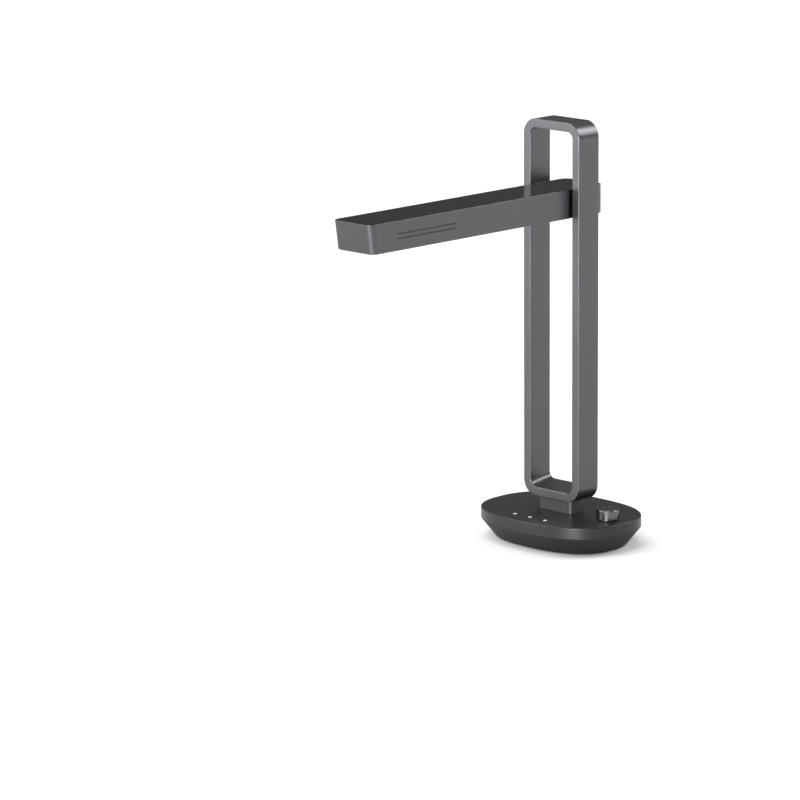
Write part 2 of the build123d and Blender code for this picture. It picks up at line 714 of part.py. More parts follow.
# Encoder nut: a thin hexagon nut that clamps the bushing to the cover, hidden by the knob.
nut_radius = bushing_radius + 2.2
with BuildPart() as encoder_nut:
    with BuildSketch(Plane.XY.offset(base_height)):
        with Locations((knob_x, knob_y)):
            RegularPolygon(nut_radius, 6)
            Circle(bushing_radius + fit_clearance, mode=Mode.SUBTRACT)
    extrude(amount=1.8)
encoder_nut.part.label = "encoder_nut"
export_step(encoder_nut.part, "parts/encoder_nut.step")

# Return spring: the coil under the plunger that lifts the knob after a press.
spring_wire = 0.35
spring_pitch = 0.7
spring_radius = 2.8
spring_height = 2.0
with BuildPart() as press_spring:
    with BuildLine() as spring_route:
        Helix(
            spring_pitch,
            spring_height - spring_wire,
            spring_radius,
            center=(knob_x, knob_y, cavity_bottom + spring_wire / 2),
        )
    with BuildSketch(Plane(origin=spring_route.wire() @ 0, z_dir=spring_route.wire() % 0)):
        Circle(spring_wire / 2)
    sweep(path=spring_route.wire(), is_frenet=True)
press_spring.part.label = "press_spring"
export_step(press_spring.part, "parts/press_spring.step")

# Plunger: the disc that the knob's shaft pushes down; it slides but doesn't turn.
plunger_bottom = cavity_bottom + spring_height
plunger_height = 0.9
plunger_radius = cavity_radius - 0.3
with BuildPart() as press_plunger:
    with BuildSketch(Plane.XY.offset(plunger_bottom)):
        with Locations((knob_x, knob_y)):
            Circle(plunger_radius)
    extrude(amount=plunger_height)
press_plunger.part.label = "press_plunger"
export_step(press_plunger.part, "parts/press_plunger.step")

# Knob shaft: a collared shaft with a flat at its top, which carries the knob.
collar_play = 0.1
collar_bottom = plunger_bottom + plunger_height + collar_play
collar_height = cavity_top - collar_play - collar_bottom
knob_bottom = base_height + knob_gap
knob_top = base_height + knob_height
shaft_top = knob_top - 2.4
flat_bottom = knob_bottom + 4.0
flat_depth = 1.2
with BuildPart() as knob_shaft:
    with BuildSketch(Plane.XY.offset(collar_bottom)):
        with Locations((knob_x, knob_y)):
            Circle(plunger_radius)
    extrude(amount=collar_height)
    with BuildSketch(Plane.XY.offset(collar_bottom)):
        with Locations((knob_x, knob_y)):
            Circle(shaft_radius)
    extrude(amount=shaft_top - collar_bottom)
    with BuildSketch(Plane.XY.offset(flat_bottom)):
        with Locations((knob_x, knob_y + shaft_radius)):
            Rectangle(shaft_diameter, 2 * flat_depth)
    extrude(amount=shaft_top - flat_bottom, mode=Mode.SUBTRACT)
knob_shaft.part.label = "knob_shaft"
export_step(knob_shaft.part, "parts/knob_shaft.step")

# Knob core: the plastic middle of the knob, hollow over the nut and keyed to the shaft.
core_radius = knob_diameter / 2 - knob_shell - fit_clearance
core_top = knob_top - knob_shell - fit_clearance
with BuildPart() as knob_core:
    with BuildSketch(Plane.XY.offset(knob_bottom)):
        with Locations((knob_x, knob_y)):
            Circle(core_radius)
    extrude(amount=core_top - knob_bottom)
    with BuildSketch(Plane.XY.offset(knob_bottom)):
        with Locations((knob_x, knob_y)):
            Circle(nut_radius + 0.9)
    extrude(amount=flat_bottom - knob_bottom, mode=Mode.SUBTRACT)
    with BuildSketch(Plane.XY.offset(flat_bottom)):
        with Locations((knob_x, knob_y)):
            Circle(shaft_radius + fit_clearance)
        with Locations((knob_x, knob_y + shaft_radius + fit_clearance)):
            Rectangle(2 * shaft_diameter, 2 * flat_depth, mode=Mode.SUBTRACT)
    extrude(amount=shaft_top + fit_clearance - flat_bottom, mode=Mode.SUBTRACT)
knob_core.part.label = "knob_core"
export_step(knob_core.part, "parts/knob_core.step")

# Knob cap: the turned metal skin over the core, with a rounded top edge.
with BuildPart() as knob_cap:
    with BuildSketch(Plane.XY.offset(knob_bottom)):
        with Locations((knob_x, knob_y)):
            Circle(knob_diameter / 2)
    extrude(amount=knob_top - knob_bottom)
    fillet(knob_cap.edges().group_by(Axis.Z)[-1], 0.8)
    chamfer(knob_cap.edges().group_by(Axis.Z)[0], 0.3)
    with BuildSketch(Plane.XY.offset(knob_bottom)):
        with Locations((knob_x, knob_y)):
            Circle(knob_diameter / 2 - knob_shell)
    extrude(amount=core_top + fit_clearance - knob_bottom, mode=Mode.SUBTRACT)
knob_cap.part.label = "knob_cap"
export_step(knob_cap.part, "parts/knob_cap.step")

# Arm housing: a metal tray with a leaning front end, open at the top for the black panel, with
# holes for the hinge, camera and lamp and two rows of vent slots in each side.
camera_board_size = 24.0
camera_post_radius = 2.2
camera_post_grid = (camera_board_size - 5, camera_board_size - 5, 2, 2)
camera_board_level = -1.2
bezel_radius = bezel_diameter / 2
control_length = 145.0
control_y = camera_y + 34.0 + control_length / 2
arm_board_thread = 5.0
control_width = 34.0
control_level = -1.0
control_post_grid = (control_width - 6, control_length - 12, 2, 2)
chassis_front = -58.0
chassis_rear = 26.5
chassis_thickness = 1.2
chassis_top = arm_inner_floor + chassis_thickness
chassis_screw_radius = 1.25
chassis_screw_head = 2.3
chassis_screw_grid = (28.0, chassis_rear - chassis_front - 14, 2, 2)
chassis_screw_length = arm_floor + chassis_thickness + 1.5
chassis_middle = (chassis_front + chassis_rear) / 2
vent_y = vent_setback - arm_front + (vent_count - 1) * vent_pitch / 2
vent_level = arm_top - vent_drop - (vent_rows - 1) * vent_row_pitch / 2
with BuildPart() as arm_housing:
    with BuildSketch(arm_plane(arm_under)):
        arm_outline(0, arm_under)
    with BuildSketch(arm_plane(arm_top)):
        arm_outline(0, arm_top)
    loft()
    fillet(arm_housing.edges().group_by(Axis.Z)[-1], arm_top_edge)
    fillet(arm_housing.edges().group_by(Axis.Z)[0], arm_bottom_edge)
    with BuildSketch(arm_plane(arm_inner_floor)):
        arm_outline(arm_wall, arm_inner_floor)
    with BuildSketch(arm_plane(arm_ceiling)):
        arm_outline(arm_wall, arm_ceiling)
    loft(mode=Mode.SUBTRACT)
    with BuildSketch(arm_plane(arm_ceiling)):
        arm_outline(panel_rim, arm_ceiling)
    extrude(amount=panel_thickness, mode=Mode.SUBTRACT)
    with BuildSketch(arm_plane(arm_inner_floor)):
        with Locations((0, camera_y)):
            with GridLocations(*camera_post_grid):
                Circle(camera_post_radius)
    extrude(amount=camera_board_level - arm_inner_floor)
    with BuildSketch(arm_plane(arm_inner_floor)):
        with Locations((0, control_y)):
            with GridLocations(*control_post_grid):
                Circle(post_radius)
    extrude(amount=control_level - arm_inner_floor)
    with Locations(arm_plane(camera_board_level) * Location((0, camera_y, 0))):
        with GridLocations(*camera_post_grid):
            Hole(board_screw_radius + fit_clearance, depth=arm_board_thread + 1)
    with Locations(arm_plane(control_level) * Location((0, control_y, 0))):
        with GridLocations(*control_post_grid):
            Hole(board_screw_radius + fit_clearance, depth=arm_board_thread + 1)
    with BuildSketch(arm_plane(arm_under)):
        with Locations((0, camera_y)):
            Circle(bezel_radius + fit_clearance)
        with Locations((0, lamp_y)):
            SlotOverall(lamp_length, lamp_width, rotation=90)
    extrude(amount=arm_floor, mode=Mode.SUBTRACT)
    with Locations(arm_plane(arm_under) * Location((0, chassis_middle, 0), (180, 0, 0))):
        with GridLocations(*chassis_screw_grid):
            CounterSinkHole(
                chassis_screw_radius + seat_clearance,
                chassis_screw_head + seat_clearance,
                depth=arm_floor,
            )
    for name, side in sides:
        with BuildSketch(hinge_plane(side, hinge_gap)):
            Circle(stub_radius + 0.4)
        extrude(amount=arm_wall, mode=Mode.SUBTRACT)
        with BuildSketch(hinge_plane(side, hinge_gap)):
            with Locations((-side * vent_y, vent_level)):
                with GridLocations(vent_pitch, vent_row_pitch, vent_count, vent_rows):
                    SlotOverall(*vent_slot)
        extrude(amount=arm_wall, mode=Mode.SUBTRACT)
arm_housing.part.label = "arm_housing"
export_step(arm_housing.part, "parts/arm_housing.step")

# Top panel: the gloss black plate let into the top of the housing, flush with its metal rim.
with BuildPart() as arm_top_panel:
    with BuildSketch(arm_plane(arm_ceiling)):
        arm_outline(panel_rim + seat_clearance, arm_ceiling)
    extrude(amount=panel_thickness)
    fillet(arm_top_panel.edges().group_by(Axis.Z)[-1], 0.25)
arm_top_panel.part.label = "arm_top_panel"
export_step(arm_top_panel.part, "parts/arm_top_panel.step")

# Hinge washers: plastic washers that fill the gaps between the arm and the column's legs.
for name, side in sides:
    with BuildPart() as hinge_washer:
        with BuildSketch(hinge_plane(side, hinge_play)):
            Circle(stub_radius + washer_rim)
            Circle(stub_radius + fit_clearance, mode=Mode.SUBTRACT)
        extrude(amount=hinge_gap - 2 * hinge_play)
    hinge_washer.part.label = f"hinge_washer_{name}"
    export_step(hinge_washer.part, f"parts/hinge_washer_{name}.step")

# Chassis: a steel plate on the housing's floor that takes the load from the friction clips.
clip_depth = stub_reach - 0.5 - clip_width
clip_middle_x = window_width / 2 - clip_depth - clip_width / 2
clip_radius = stub_radius + clip_wall
clip_neck = 1.4 * clip_radius
clip_screw_y = clip_neck / 2 + 3.25
with BuildPart() as arm_chassis:
    with BuildSketch(arm_plane(arm_inner_floor)):
        with Locations((0, chassis_middle)):
            RectangleRounded(arm_inner_width - 1.8, chassis_rear - chassis_front, 4.5)
            with GridLocations(*chassis_screw_grid):
                Circle(chassis_screw_radius + fit_clearance, mode=Mode.SUBTRACT)
        with GridLocations(2 * clip_middle_x, 2 * clip_screw_y, 2, 2):
            Circle(chassis_screw_radius + fit_clearance, mode=Mode.SUBTRACT)
    extrude(amount=chassis_thickness)
arm_chassis.part.label = "arm_chassis"
export_step(arm_chassis.part, "parts/arm_chassis.step")

# Friction clips: slit steel clips that grip the hinge shafts, so that the arm stays where it is put.
for name, side in sides:
    with BuildPart() as friction_clip:
        with BuildSketch(hinge_plane(side, clip_depth)):
            Circle(clip_radius)
            with Locations((0, chassis_top / 2)):
                Rectangle(clip_neck, -chassis_top)
            with Locations((0, chassis_top + clip_foot_thickness / 2)):
                Rectangle(2 * clip_screw_y + 6, clip_foot_thickness)
            Circle(stub_radius + fit_clearance, mode=Mode.SUBTRACT)
            with Locations((0, clip_radius)):
                Rectangle(1.2, 2 * clip_wall + 1, mode=Mode.SUBTRACT)
        extrude(amount=clip_width)
        clip_foot_top = arm_plane(chassis_top + clip_foot_thickness)
        with Locations(clip_foot_top * Location((side * clip_middle_x, 0, 0))):
            with GridLocations(1, 2 * clip_screw_y, 1, 2):
                Hole(chassis_screw_radius + fit_clearance)
    friction_clip.part.label = f"friction_clip_{name}"
    export_step(friction_clip.part, f"parts/friction_clip_{name}.step")

# Clip screws: two screws down through each clip's foot into the chassis.
with BuildPart() as clip_screws:
    with Locations(arm_plane(chassis_top + clip_foot_thickness) * Rot(180, 0, 0)):
        with GridLocations(2 * clip_middle_x, 2 * clip_screw_y, 2, 2):
            pan_screw(chassis_screw_radius, clip_foot_thickness + chassis_thickness)
clip_screws.part.label = "clip_screws"
export_step(clip_screws.part, "parts/clip_screws.step")

# Chassis screws: four countersunk screws seen on the underside of the arm.
with BuildPart() as chassis_screws:
    with Locations(arm_plane(arm_under) * Location((0, chassis_middle, 0))):
        with GridLocations(*chassis_screw_grid):
            flush_screw(chassis_screw_radius, chassis_screw_head, chassis_screw_length)
chassis_screws.part.label = "chassis_screws"
export_step(chassis_screws.part, "parts/chassis_screws.step")

# Control board: the long board that drives the camera and the lamp, on posts above the lamp.
with BuildPart() as control_board:
    with BuildSketch(arm_plane(control_level)):
        with Locations((0, control_y)):
            RectangleRounded(control_width, control_length, 2)
            with GridLocations(*control_post_grid):
                Circle(board_screw_radius + seat_clearance, mode=Mode.SUBTRACT)
    extrude(amount=board_thickness)
control_board.part.label = "control_board"
export_step(control_board.part, "parts/control_board.step")

# Processor: the warm chip in the middle of the control board.
control_top = control_level + board_thickness
chip_height = 1.2
chip_size = 15.0
with BuildPart() as processor_chip:
    with BuildSketch(arm_plane(control_top)):
        with Locations((0, control_y)):
            Rectangle(chip_size, chip_size)
    extrude(amount=chip_height)
processor_chip.part.label = "processor_chip"
export_step(processor_chip.part, "parts/processor_chip.step")

# Heat sink: a finned block on the processor, under the black panel.
sink_width = 24.0
sink_length = 36.0
sink_base = 1.5
sink_height = 7.5
fin_count = 7
with BuildPart() as heat_sink:
    with BuildSketch(arm_plane(control_top + chip_height)):
        with Locations((0, control_y)):
            Rectangle(sink_width, sink_length)
    extrude(amount=sink_base)
    with BuildSketch(arm_plane(control_top + chip_height + sink_base)):
        with Locations((0, control_y)):
            with GridLocations((sink_width - 1.2) / (fin_count - 1), 1, fin_count, 1):
                Rectangle(1.2, sink_length)
    extrude(amount=sink_height - sink_base)
heat_sink.part.label = "heat_sink"
export_step(heat_sink.part, "parts/heat_sink.step")

# Arm connector: the plug housing at the rear of the control board.
arm_connector_y = control_y + control_length / 2 - 4.0
arm_connector_height = 3.6
with BuildPart() as arm_connector:
    with BuildSketch(arm_plane(control_top)):
        with Locations((cable_x, arm_connector_y)):
            Rectangle(connector_size[0], connector_size[1])
    extrude(amount=arm_connector_height)
    chamfer(arm_connector.edges().group_by(Axis.Z)[-1], 0.4)
arm_connector.part.label = "arm_connector"
export_step(arm_connector.part, "parts/arm_connector.step")

# Arm cable: from the middle of the hollow shaft, where it can twist, to the arm's connector.
arm_cable_end = arm_connector_y + connector_size[1] / 2
arm_cable_level = pivot_height + control_top + arm_connector_height / 2
with BuildPart() as arm_cable:
    with BuildLine() as arm_route:
        FilletPolyline(
            (cable_meet, 0, pivot_height),
            (cable_x, 0, pivot_height),
            (cable_x, -26, arm_cable_level),
            (cable_x, arm_cable_end, arm_cable_level),
            radius=[6.0, 60.0],
        )
    with BuildSketch(Plane(origin=arm_route.wire() @ 0, z_dir=arm_route.wire() % 0)):
        Circle(cable_radius)
    sweep(path=arm_route.wire())
arm_cable.part.label = "arm_cable"
export_step(arm_cable.part, "parts/arm_cable.step")

# Vent mesh: a thin strip of fine black mesh behind the slots on each side.
mesh_length = vent_count * vent_pitch + 4
mesh_height = vent_rows * vent_row_pitch + 3
mesh_thickness = 0.4
with BuildPart() as vent_mesh:
    for name, side in sides:
        with BuildSketch(hinge_plane(side, hinge_gap + arm_wall)):
            with Locations((-side * vent_y, vent_level)):
                Rectangle(mesh_length, mesh_height)
        extrude(amount=mesh_thickness)
vent_mesh.part.label = "vent_mesh"
export_step(vent_mesh.part, "parts/vent_mesh.step")

# Lamp diffuser: a milky strip in the floor of the arm, with a flange inside and a hollow for light.
lamp_recess = 0.2
flange = 1.6
diffuser_skin = 1.2
diffuser_top = arm_inner_floor + 2.8
with BuildPart() as lamp_diffuser:
    with BuildSketch(arm_plane(arm_under + lamp_recess)):
        with Locations((0, lamp_y)):
            SlotOverall(lamp_length - 2 * seat_clearance, lamp_width - 2 * seat_clearance, rotation=90)
    extrude(amount=diffuser_top - arm_under - lamp_recess)
    with BuildSketch(arm_plane(arm_inner_floor)):
        with Locations((0, lamp_y)):
            SlotOverall(lamp_length + 2 * flange, lamp_width + 2 * flange, rotation=90)
    extrude(amount=0.8)
    with BuildSketch(arm_plane(arm_under + lamp_recess + diffuser_skin)):
        with Locations((0, lamp_y)):
            SlotOverall(lamp_length - 3, lamp_width - 3, rotation=90)
    extrude(amount=diffuser_top - arm_under - lamp_recess - diffuser_skin, mode=Mode.SUBTRACT)
lamp_diffuser.part.label = "lamp_diffuser"
export_step(lamp_diffuser.part, "parts/lamp_diffuser.step")

# Lamp board: the aluminium strip that carries the lights and closes the diffuser's hollow.
lamp_board_thickness = 1.2
with BuildPart() as lamp_board:
    with BuildSketch(arm_plane(diffuser_top)):
        with Locations((0, lamp_y)):
            SlotOverall(lamp_length - 2 * seat_clearance, lamp_width - 2 * seat_clearance, rotation=90)
    extrude(amount=lamp_board_thickness)
lamp_board.part.label = "lamp_board"
export_step(lamp_board.part, "parts/lamp_board.step")

# Lamp lights: a row of square light chips under the strip.
lamp_pitch = (lamp_length - 14) / (lamp_count - 1)
with BuildPart() as lamp_lights:
    with BuildSketch(arm_plane(diffuser_top)):
        with Locations((0, lamp_y)):
            with GridLocations(1, lamp_pitch, 1, lamp_count):
                Rectangle(3.5, 2.8)
    extrude(amount=-0.8)
lamp_lights.part.label = "lamp_lights"
export_step(lamp_lights.part, "parts/lamp_lights.step")

# Camera bezel: the metal ring in the underside, with a seat for the cover glass.
window_thickness = 1.0
bezel_lip = 0.6
window_level = arm_under + bezel_lip
with BuildPart() as camera_bezel:
    with BuildSketch(arm_plane(arm_under)):
        with Locations((0, camera_y)):
            Circle(bezel_radius)
    extrude(amount=arm_floor)
    chamfer(camera_bezel.edges().group_by(Axis.Z)[0], 0.3)
    with BuildSketch(arm_plane(arm_inner_floor)):
        with Locations((0, camera_y)):
            Circle(bezel_radius + 1.5)
    extrude(amount=0.8)
    with Locations(arm_plane(arm_under) * Location((0, camera_y, 0), (180, 0, 0))):
        CounterSinkHole(window_diameter / 2 - 0.9, window_diameter / 2)
    with BuildSketch(arm_plane(window_level)):
        with Locations((0, camera_y)):
            Circle(window_diameter / 2 + fit_clearance)
    extrude(amount=window_thickness, mode=Mode.SUBTRACT)
    with BuildSketch(arm_plane(window_level + window_thickness)):
        with Locations((0, camera_y)):
            Circle(barrel_diameter / 2 + seat_clearance)
    extrude(amount=arm_floor, mode=Mode.SUBTRACT)
camera_bezel.part.label = "camera_bezel"
export_step(camera_bezel.part, "parts/camera_bezel.step")

# Cover glass: a flat glass disc that keeps dust off the lens.
with BuildPart() as cover_glass:
    with BuildSketch(arm_plane(window_level)):
        with Locations((0, camera_y)):
            Circle(window_diameter / 2)
    extrude(amount=window_thickness)
cover_glass.part.label = "cover_glass"
export_step(cover_glass.part, "parts/cover_glass.step")

# Lens barrel: the black tube above the glass, open at its lower end, fixed to the camera board.
barrel_bottom = window_level + window_thickness + seat_clearance
lens_radius = 4.6
lens_seat = barrel_bottom + 3.2
with BuildPart() as lens_barrel:
    with BuildSketch(arm_plane(barrel_bottom)):
        with Locations((0, camera_y)):
            Circle(barrel_diameter / 2)
    extrude(amount=camera_board_level - barrel_bottom)
    with BuildSketch(arm_plane(barrel_bottom)):
        with Locations((0, camera_y)):
            Circle(lens_radius + fit_clearance)
    extrude(amount=lens_seat - barrel_bottom, mode=Mode.SUBTRACT)
    for step in range(2):
        with BuildSketch(arm_plane(barrel_bottom + 4.5 + 2.4 * step)):
            with Locations((0, camera_y)):
                Circle(barrel_diameter / 2)
                Circle(barrel_diameter / 2 - 0.5, mode=Mode.SUBTRACT)
        extrude(amount=0.8, mode=Mode.SUBTRACT)
lens_barrel.part.label = "lens_barrel"
export_step(lens_barrel.part, "parts/lens_barrel.step")

# Front lens: a domed glass element seated in the barrel, its bulge towards the desk.
lens_edge = 0.6
lens_bulge = 1.8
lens_curve = (lens_radius**2 + lens_bulge**2) / (2 * lens_bulge)
with BuildPart() as front_lens:
    lens_origin = (0, camera_y, pivot_height + lens_seat)
    with BuildSketch(Plane(origin=lens_origin, x_dir=(1, 0, 0), z_dir=(0, -1, 0))):
        with BuildLine():
            Line((0, 0), (lens_radius, 0))
            Line((lens_radius, 0), (lens_radius, -lens_edge))
            RadiusArc((lens_radius, -lens_edge), (0, -lens_edge - lens_bulge), lens_curve)
            Line((0, -lens_edge - lens_bulge), (0, 0))
        make_face()
    revolve(axis=Axis((0, camera_y, 0), (0, 0, 1)))
front_lens.part.label = "front_lens"
export_step(front_lens.part, "parts/front_lens.step")

# Camera board: the square board that carries the image sensor and the barrel.
with BuildPart() as camera_board:
    with BuildSketch(arm_plane(camera_board_level)):
        with Locations((0, camera_y)):
            RectangleRounded(camera_board_size, camera_board_size, 2)
            with GridLocations(*camera_post_grid):
                Circle(board_screw_radius + seat_clearance, mode=Mode.SUBTRACT)
    extrude(amount=board_thickness)
camera_board.part.label = "camera_board"
export_step(camera_board.part, "parts/camera_board.step")

# Arm board screws: four in the control board and four in the camera board.
with BuildPart() as arm_board_screws:
    with Locations(arm_plane(control_top) * Location((0, control_y, 0), (180, 0, 0))):
        with GridLocations(*control_post_grid):
            pan_screw(board_screw_radius, board_thickness + arm_board_thread)
    camera_board_face = arm_plane(camera_board_level + board_thickness)
    with Locations(camera_board_face * Location((0, camera_y, 0), (180, 0, 0))):
        with GridLocations(*camera_post_grid):
            pan_screw(board_screw_radius, board_thickness + arm_board_thread)
arm_board_screws.part.label = "arm_board_screws"
export_step(arm_board_screws.part, "parts/arm_board_screws.step")
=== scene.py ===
import json
import math

import bmesh
import bpy
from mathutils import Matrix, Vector


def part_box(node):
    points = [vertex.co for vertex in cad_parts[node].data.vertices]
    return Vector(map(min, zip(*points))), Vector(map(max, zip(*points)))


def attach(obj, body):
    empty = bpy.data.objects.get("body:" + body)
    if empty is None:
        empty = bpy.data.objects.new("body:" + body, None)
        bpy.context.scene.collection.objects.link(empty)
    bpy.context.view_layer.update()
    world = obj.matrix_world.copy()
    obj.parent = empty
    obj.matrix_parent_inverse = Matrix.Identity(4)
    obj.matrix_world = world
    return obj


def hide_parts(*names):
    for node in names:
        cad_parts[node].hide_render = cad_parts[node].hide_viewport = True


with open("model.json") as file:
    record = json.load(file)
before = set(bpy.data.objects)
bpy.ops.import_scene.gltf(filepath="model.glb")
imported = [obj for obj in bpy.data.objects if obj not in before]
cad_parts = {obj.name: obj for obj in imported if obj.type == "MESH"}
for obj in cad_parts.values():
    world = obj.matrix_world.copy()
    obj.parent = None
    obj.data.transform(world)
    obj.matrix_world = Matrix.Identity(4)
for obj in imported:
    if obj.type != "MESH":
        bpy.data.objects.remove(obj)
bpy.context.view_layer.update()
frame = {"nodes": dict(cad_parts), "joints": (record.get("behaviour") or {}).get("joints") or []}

# The camera stands off the right front corner of the base, a little above the arm, and looks
# down on the object with a long lens. Its aim is measured from the middle of the base.
MM = 0.001
AIM = Vector((-102.4, -102.4, 130.5)) * MM
CAMERA_TURN = math.radians(45.0)
CAMERA_RISE = math.radians(12.37)
CAMERA_ROLL = math.radians(-0.39)
CAMERA_AWAY = 3971.4 * MM
IMAGE_SIDE = 800
FOCAL_PIXELS = 4410.9


def towards(turn, rise):
    """Unit vector to a place round the object: turn 0 is the front, 90 the side with the knob."""
    return Vector((
        math.sin(turn) * math.cos(rise),
        -math.cos(turn) * math.cos(rise),
        math.sin(rise),
    ))


def put_in_scene(name, data):
    """A new object in the scene that holds the given data."""
    piece = bpy.data.objects.new(name, data)
    bpy.context.scene.collection.objects.link(piece)
    return piece


def look_along(piece, direction):
    """Turns a camera or a light, which face their own -Z, along a direction."""
    piece.rotation_euler = direction.to_track_quat("-Z", "Y").to_euler()


camera_data = bpy.data.cameras.new("camera")
camera_data.sensor_width = 36.0
camera_data.lens = FOCAL_PIXELS * camera_data.sensor_width / IMAGE_SIDE
camera_data.clip_end = 100.0
camera = put_in_scene("camera", camera_data)
camera.location = AIM + towards(CAMERA_TURN, CAMERA_RISE) * CAMERA_AWAY
look_along(camera, -towards(CAMERA_TURN, CAMERA_RISE))
camera.rotation_euler.rotate_axis("Z", CAMERA_ROLL)
bpy.context.scene.camera = camera
bpy.context.scene.view_settings.view_transform = "Standard"

# The studio: a wide pale floor of matt paper, a bright horizon with a darker wall above it,
# one very soft overhead light, and three soft boxes that draw the highlights on the metal.
FLOOR_SIDE = 60.0
FLOOR_WHITE = (0.84, 0.84, 0.85, 1)
ZENITH_GREY = (0.5, 0.5, 0.51, 1)
WALL_GREYS = ((0.03, 0.8), (0.09, 0.10), (0.30, 0.12), (0.5, 0.50))  # sine of the rise, grey
SUN_POWER = 2.6
SUN_SPREAD = math.radians(70)
SUN_TURN = math.radians(-40)
SUN_RISE = math.radians(62)
BOXES_AIM = Vector((0, 0, 0.2))
SOFT_BOXES = (  # name, turn and rise in degrees, distance, width and height in metres, watts
    ("front_strip", 27, 2.5, 6.0, 1.5, 0.8, 600),
    ("left_box", -34, 6, 6.0, 2.2, 2.0, 175),
    ("rear_box", 150, 31, 4.0, 1.3, 2.3, 85),
)


def add(tree, kind, values=None, **traits):
    """Adds a node. Values are by socket: a number, a colour, or another node's output."""
    made = tree.nodes.new(kind)
    for trait, setting in traits.items():
        setattr(made, trait, setting)
    for socket, value in (values or {}).items():
        if isinstance(value, bpy.types.NodeSocket):
            tree.links.new(value, made.inputs[socket])
        else:
            made.inputs[socket].default_value = value
    return made


def new_material(name, **settings):
    """A node material, its tree and its shader, with plain settings on the shader's sockets."""
    material = bpy.data.materials.new(name)
    material.use_nodes = True
    shader = material.node_tree.nodes["Principled BSDF"]
    for socket, value in settings.items():
        shader.inputs[socket.replace("_", " ")].default_value = value
    return material, material.node_tree, shader


floor_form = bmesh.new()
bmesh.ops.create_grid(floor_form, x_segments=1, y_segments=1, size=FLOOR_SIDE / 2)
floor_mesh = bpy.data.meshes.new("floor")
floor_form.to_mesh(floor_mesh)
floor_form.free()
floor = put_in_scene("floor", floor_mesh)
floor_paper, *_ = new_material(
    "floor_paper", Base_Color=FLOOR_WHITE, Roughness=0.9, Specular_IOR_Level=0.0
)
floor_mesh.materials.append(floor_paper)

world = bpy.data.worlds.new("studio")
world.use_nodes = True
bpy.context.scene.world = world
sky = world.node_tree
sky_place = add(sky, "ShaderNodeTexCoord")
sky_height = add(sky, "ShaderNodeSeparateXYZ", {"Vector": sky_place.outputs["Generated"]})
sky_ramp = add(sky, "ShaderNodeValToRGB", {"Fac": sky_height.outputs["Z"]})
sky_stops = sky_ramp.color_ramp.elements
sky_stops[0].position = 0.0
sky_stops[0].color = (1, 1, 1, 1)
sky_stops[1].position = 1.0
sky_stops[1].color = ZENITH_GREY
for sine, grey in WALL_GREYS:
    sky_stops.new(sine).color = (grey, grey, grey, 1)
sky.links.new(sky_ramp.outputs["Color"], sky.nodes["Background"].inputs["Color"])

sun_light = bpy.data.lights.new("overhead", "SUN")
sun_light.energy = SUN_POWER
sun_light.angle = SUN_SPREAD
overhead = put_in_scene("overhead", sun_light)
look_along(overhead, -towards(SUN_TURN, SUN_RISE))

for box_name, turn, rise, away, width, height, power in SOFT_BOXES:
    box_light = bpy.data.lights.new(box_name, "AREA")
    box_light.shape = "RECTANGLE"
    box_light.size = width
    box_light.size_y = height
    box_light.energy = power
    soft_box = put_in_scene(box_name, box_light)
    direction = towards(math.radians(turn), math.radians(rise))
    soft_box.location = BOXES_AIM + direction * away
    look_along(soft_box, -direction)

# Non-slip pad: one flat pad of moulded silicone rubber with a moulded groove, glued into the
# recess under the base, so that the camera doesn't slide.
OVAL_SQUARENESS = 2.5
OVAL_POINTS = 144
PAD_GROOVE = (4.0, 5.4, 0.5)  # inset of its two edges, depth
GROOVE_SLOPE = 0.2
PAD_EDGE = 0.3


def box_mm(node):
    """Lowest and highest corner of a CAD node, in millimetres."""
    low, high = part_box(node)
    return low / MM, high / MM


def smooth(form, limit=28):
    """Smooths a mesh's shading, but keeps each edge that turns by more than the limit crisp."""
    for face in form.faces:
        face.smooth = True
    for edge in form.edges:
        edge.smooth = edge.calc_face_angle(0) < math.radians(limit)


def finish_mesh(name, form):
    """Turns a bmesh into an object with even normals on its flat faces."""
    bmesh.ops.recalc_face_normals(form, faces=form.faces)
    smooth(form)
    mesh = bpy.data.meshes.new(name)
    form.to_mesh(mesh)
    form.free()
    piece = put_in_scene(name, mesh)
    flat = piece.modifiers.new("even_normals", "WEIGHTED_NORMAL")
    flat.keep_sharp = True
    return piece


def lay_skin(form, rings, looped=False):
    """Lays faces over rings of equal length, in millimetres, with end caps or as a loop."""
    rows = [[form.verts.new(Vector(point) * MM) for point in ring] for ring in rings]
    joins = list(zip(rows, rows[1:]))
    if looped:
        joins.append((rows[-1], rows[0]))
    else:
        form.faces.new(rows[0][::-1])
        form.faces.new(rows[-1])
    for lower, upper in joins:
        for here in range(len(lower)):
            after = (here + 1) % len(lower)
            form.faces.new((lower[here], lower[after], upper[after], upper[here]))


def skin(name, *ring_sets, looped=False):
    """A mesh object of one or more closed skins."""
    form = bmesh.new()
    for rings in ring_sets:
        lay_skin(form, rings, looped)
    return finish_mesh(name, form)


def level_rings(outline, levels):
    """Rings of a plan outline at (inset, height) pairs."""
    return [[(x, y, z) for x, y in outline(inset, z)] for inset, z in levels]


def top_edge(height, radius, inset=0.0, steps=4):
    """Inset and height pairs round an upper edge, from the side to the top."""
    turns = [math.pi / 2 * step / steps for step in range(steps + 1)]
    return [
        (inset + radius * (1 - math.cos(a)), height - radius * (1 - math.sin(a))) for a in turns
    ]


def bottom_edge(height, radius, inset=0.0, steps=4):
    """Inset and height pairs round a lower edge, from the bottom to the side."""
    return [(i, 2 * height - z) for i, z in reversed(top_edge(height, radius, inset, steps))]


def dress(piece, material, body, slot, *nodes):
    """Gives a piece its material and says what it rides on and which CAD nodes it stands for."""
    piece.data.materials.clear()
    piece.data.materials.append(material)
    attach(piece, body)
    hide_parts(*nodes)
    return piece


cover_high = box_mm("base_top_cover")[1]


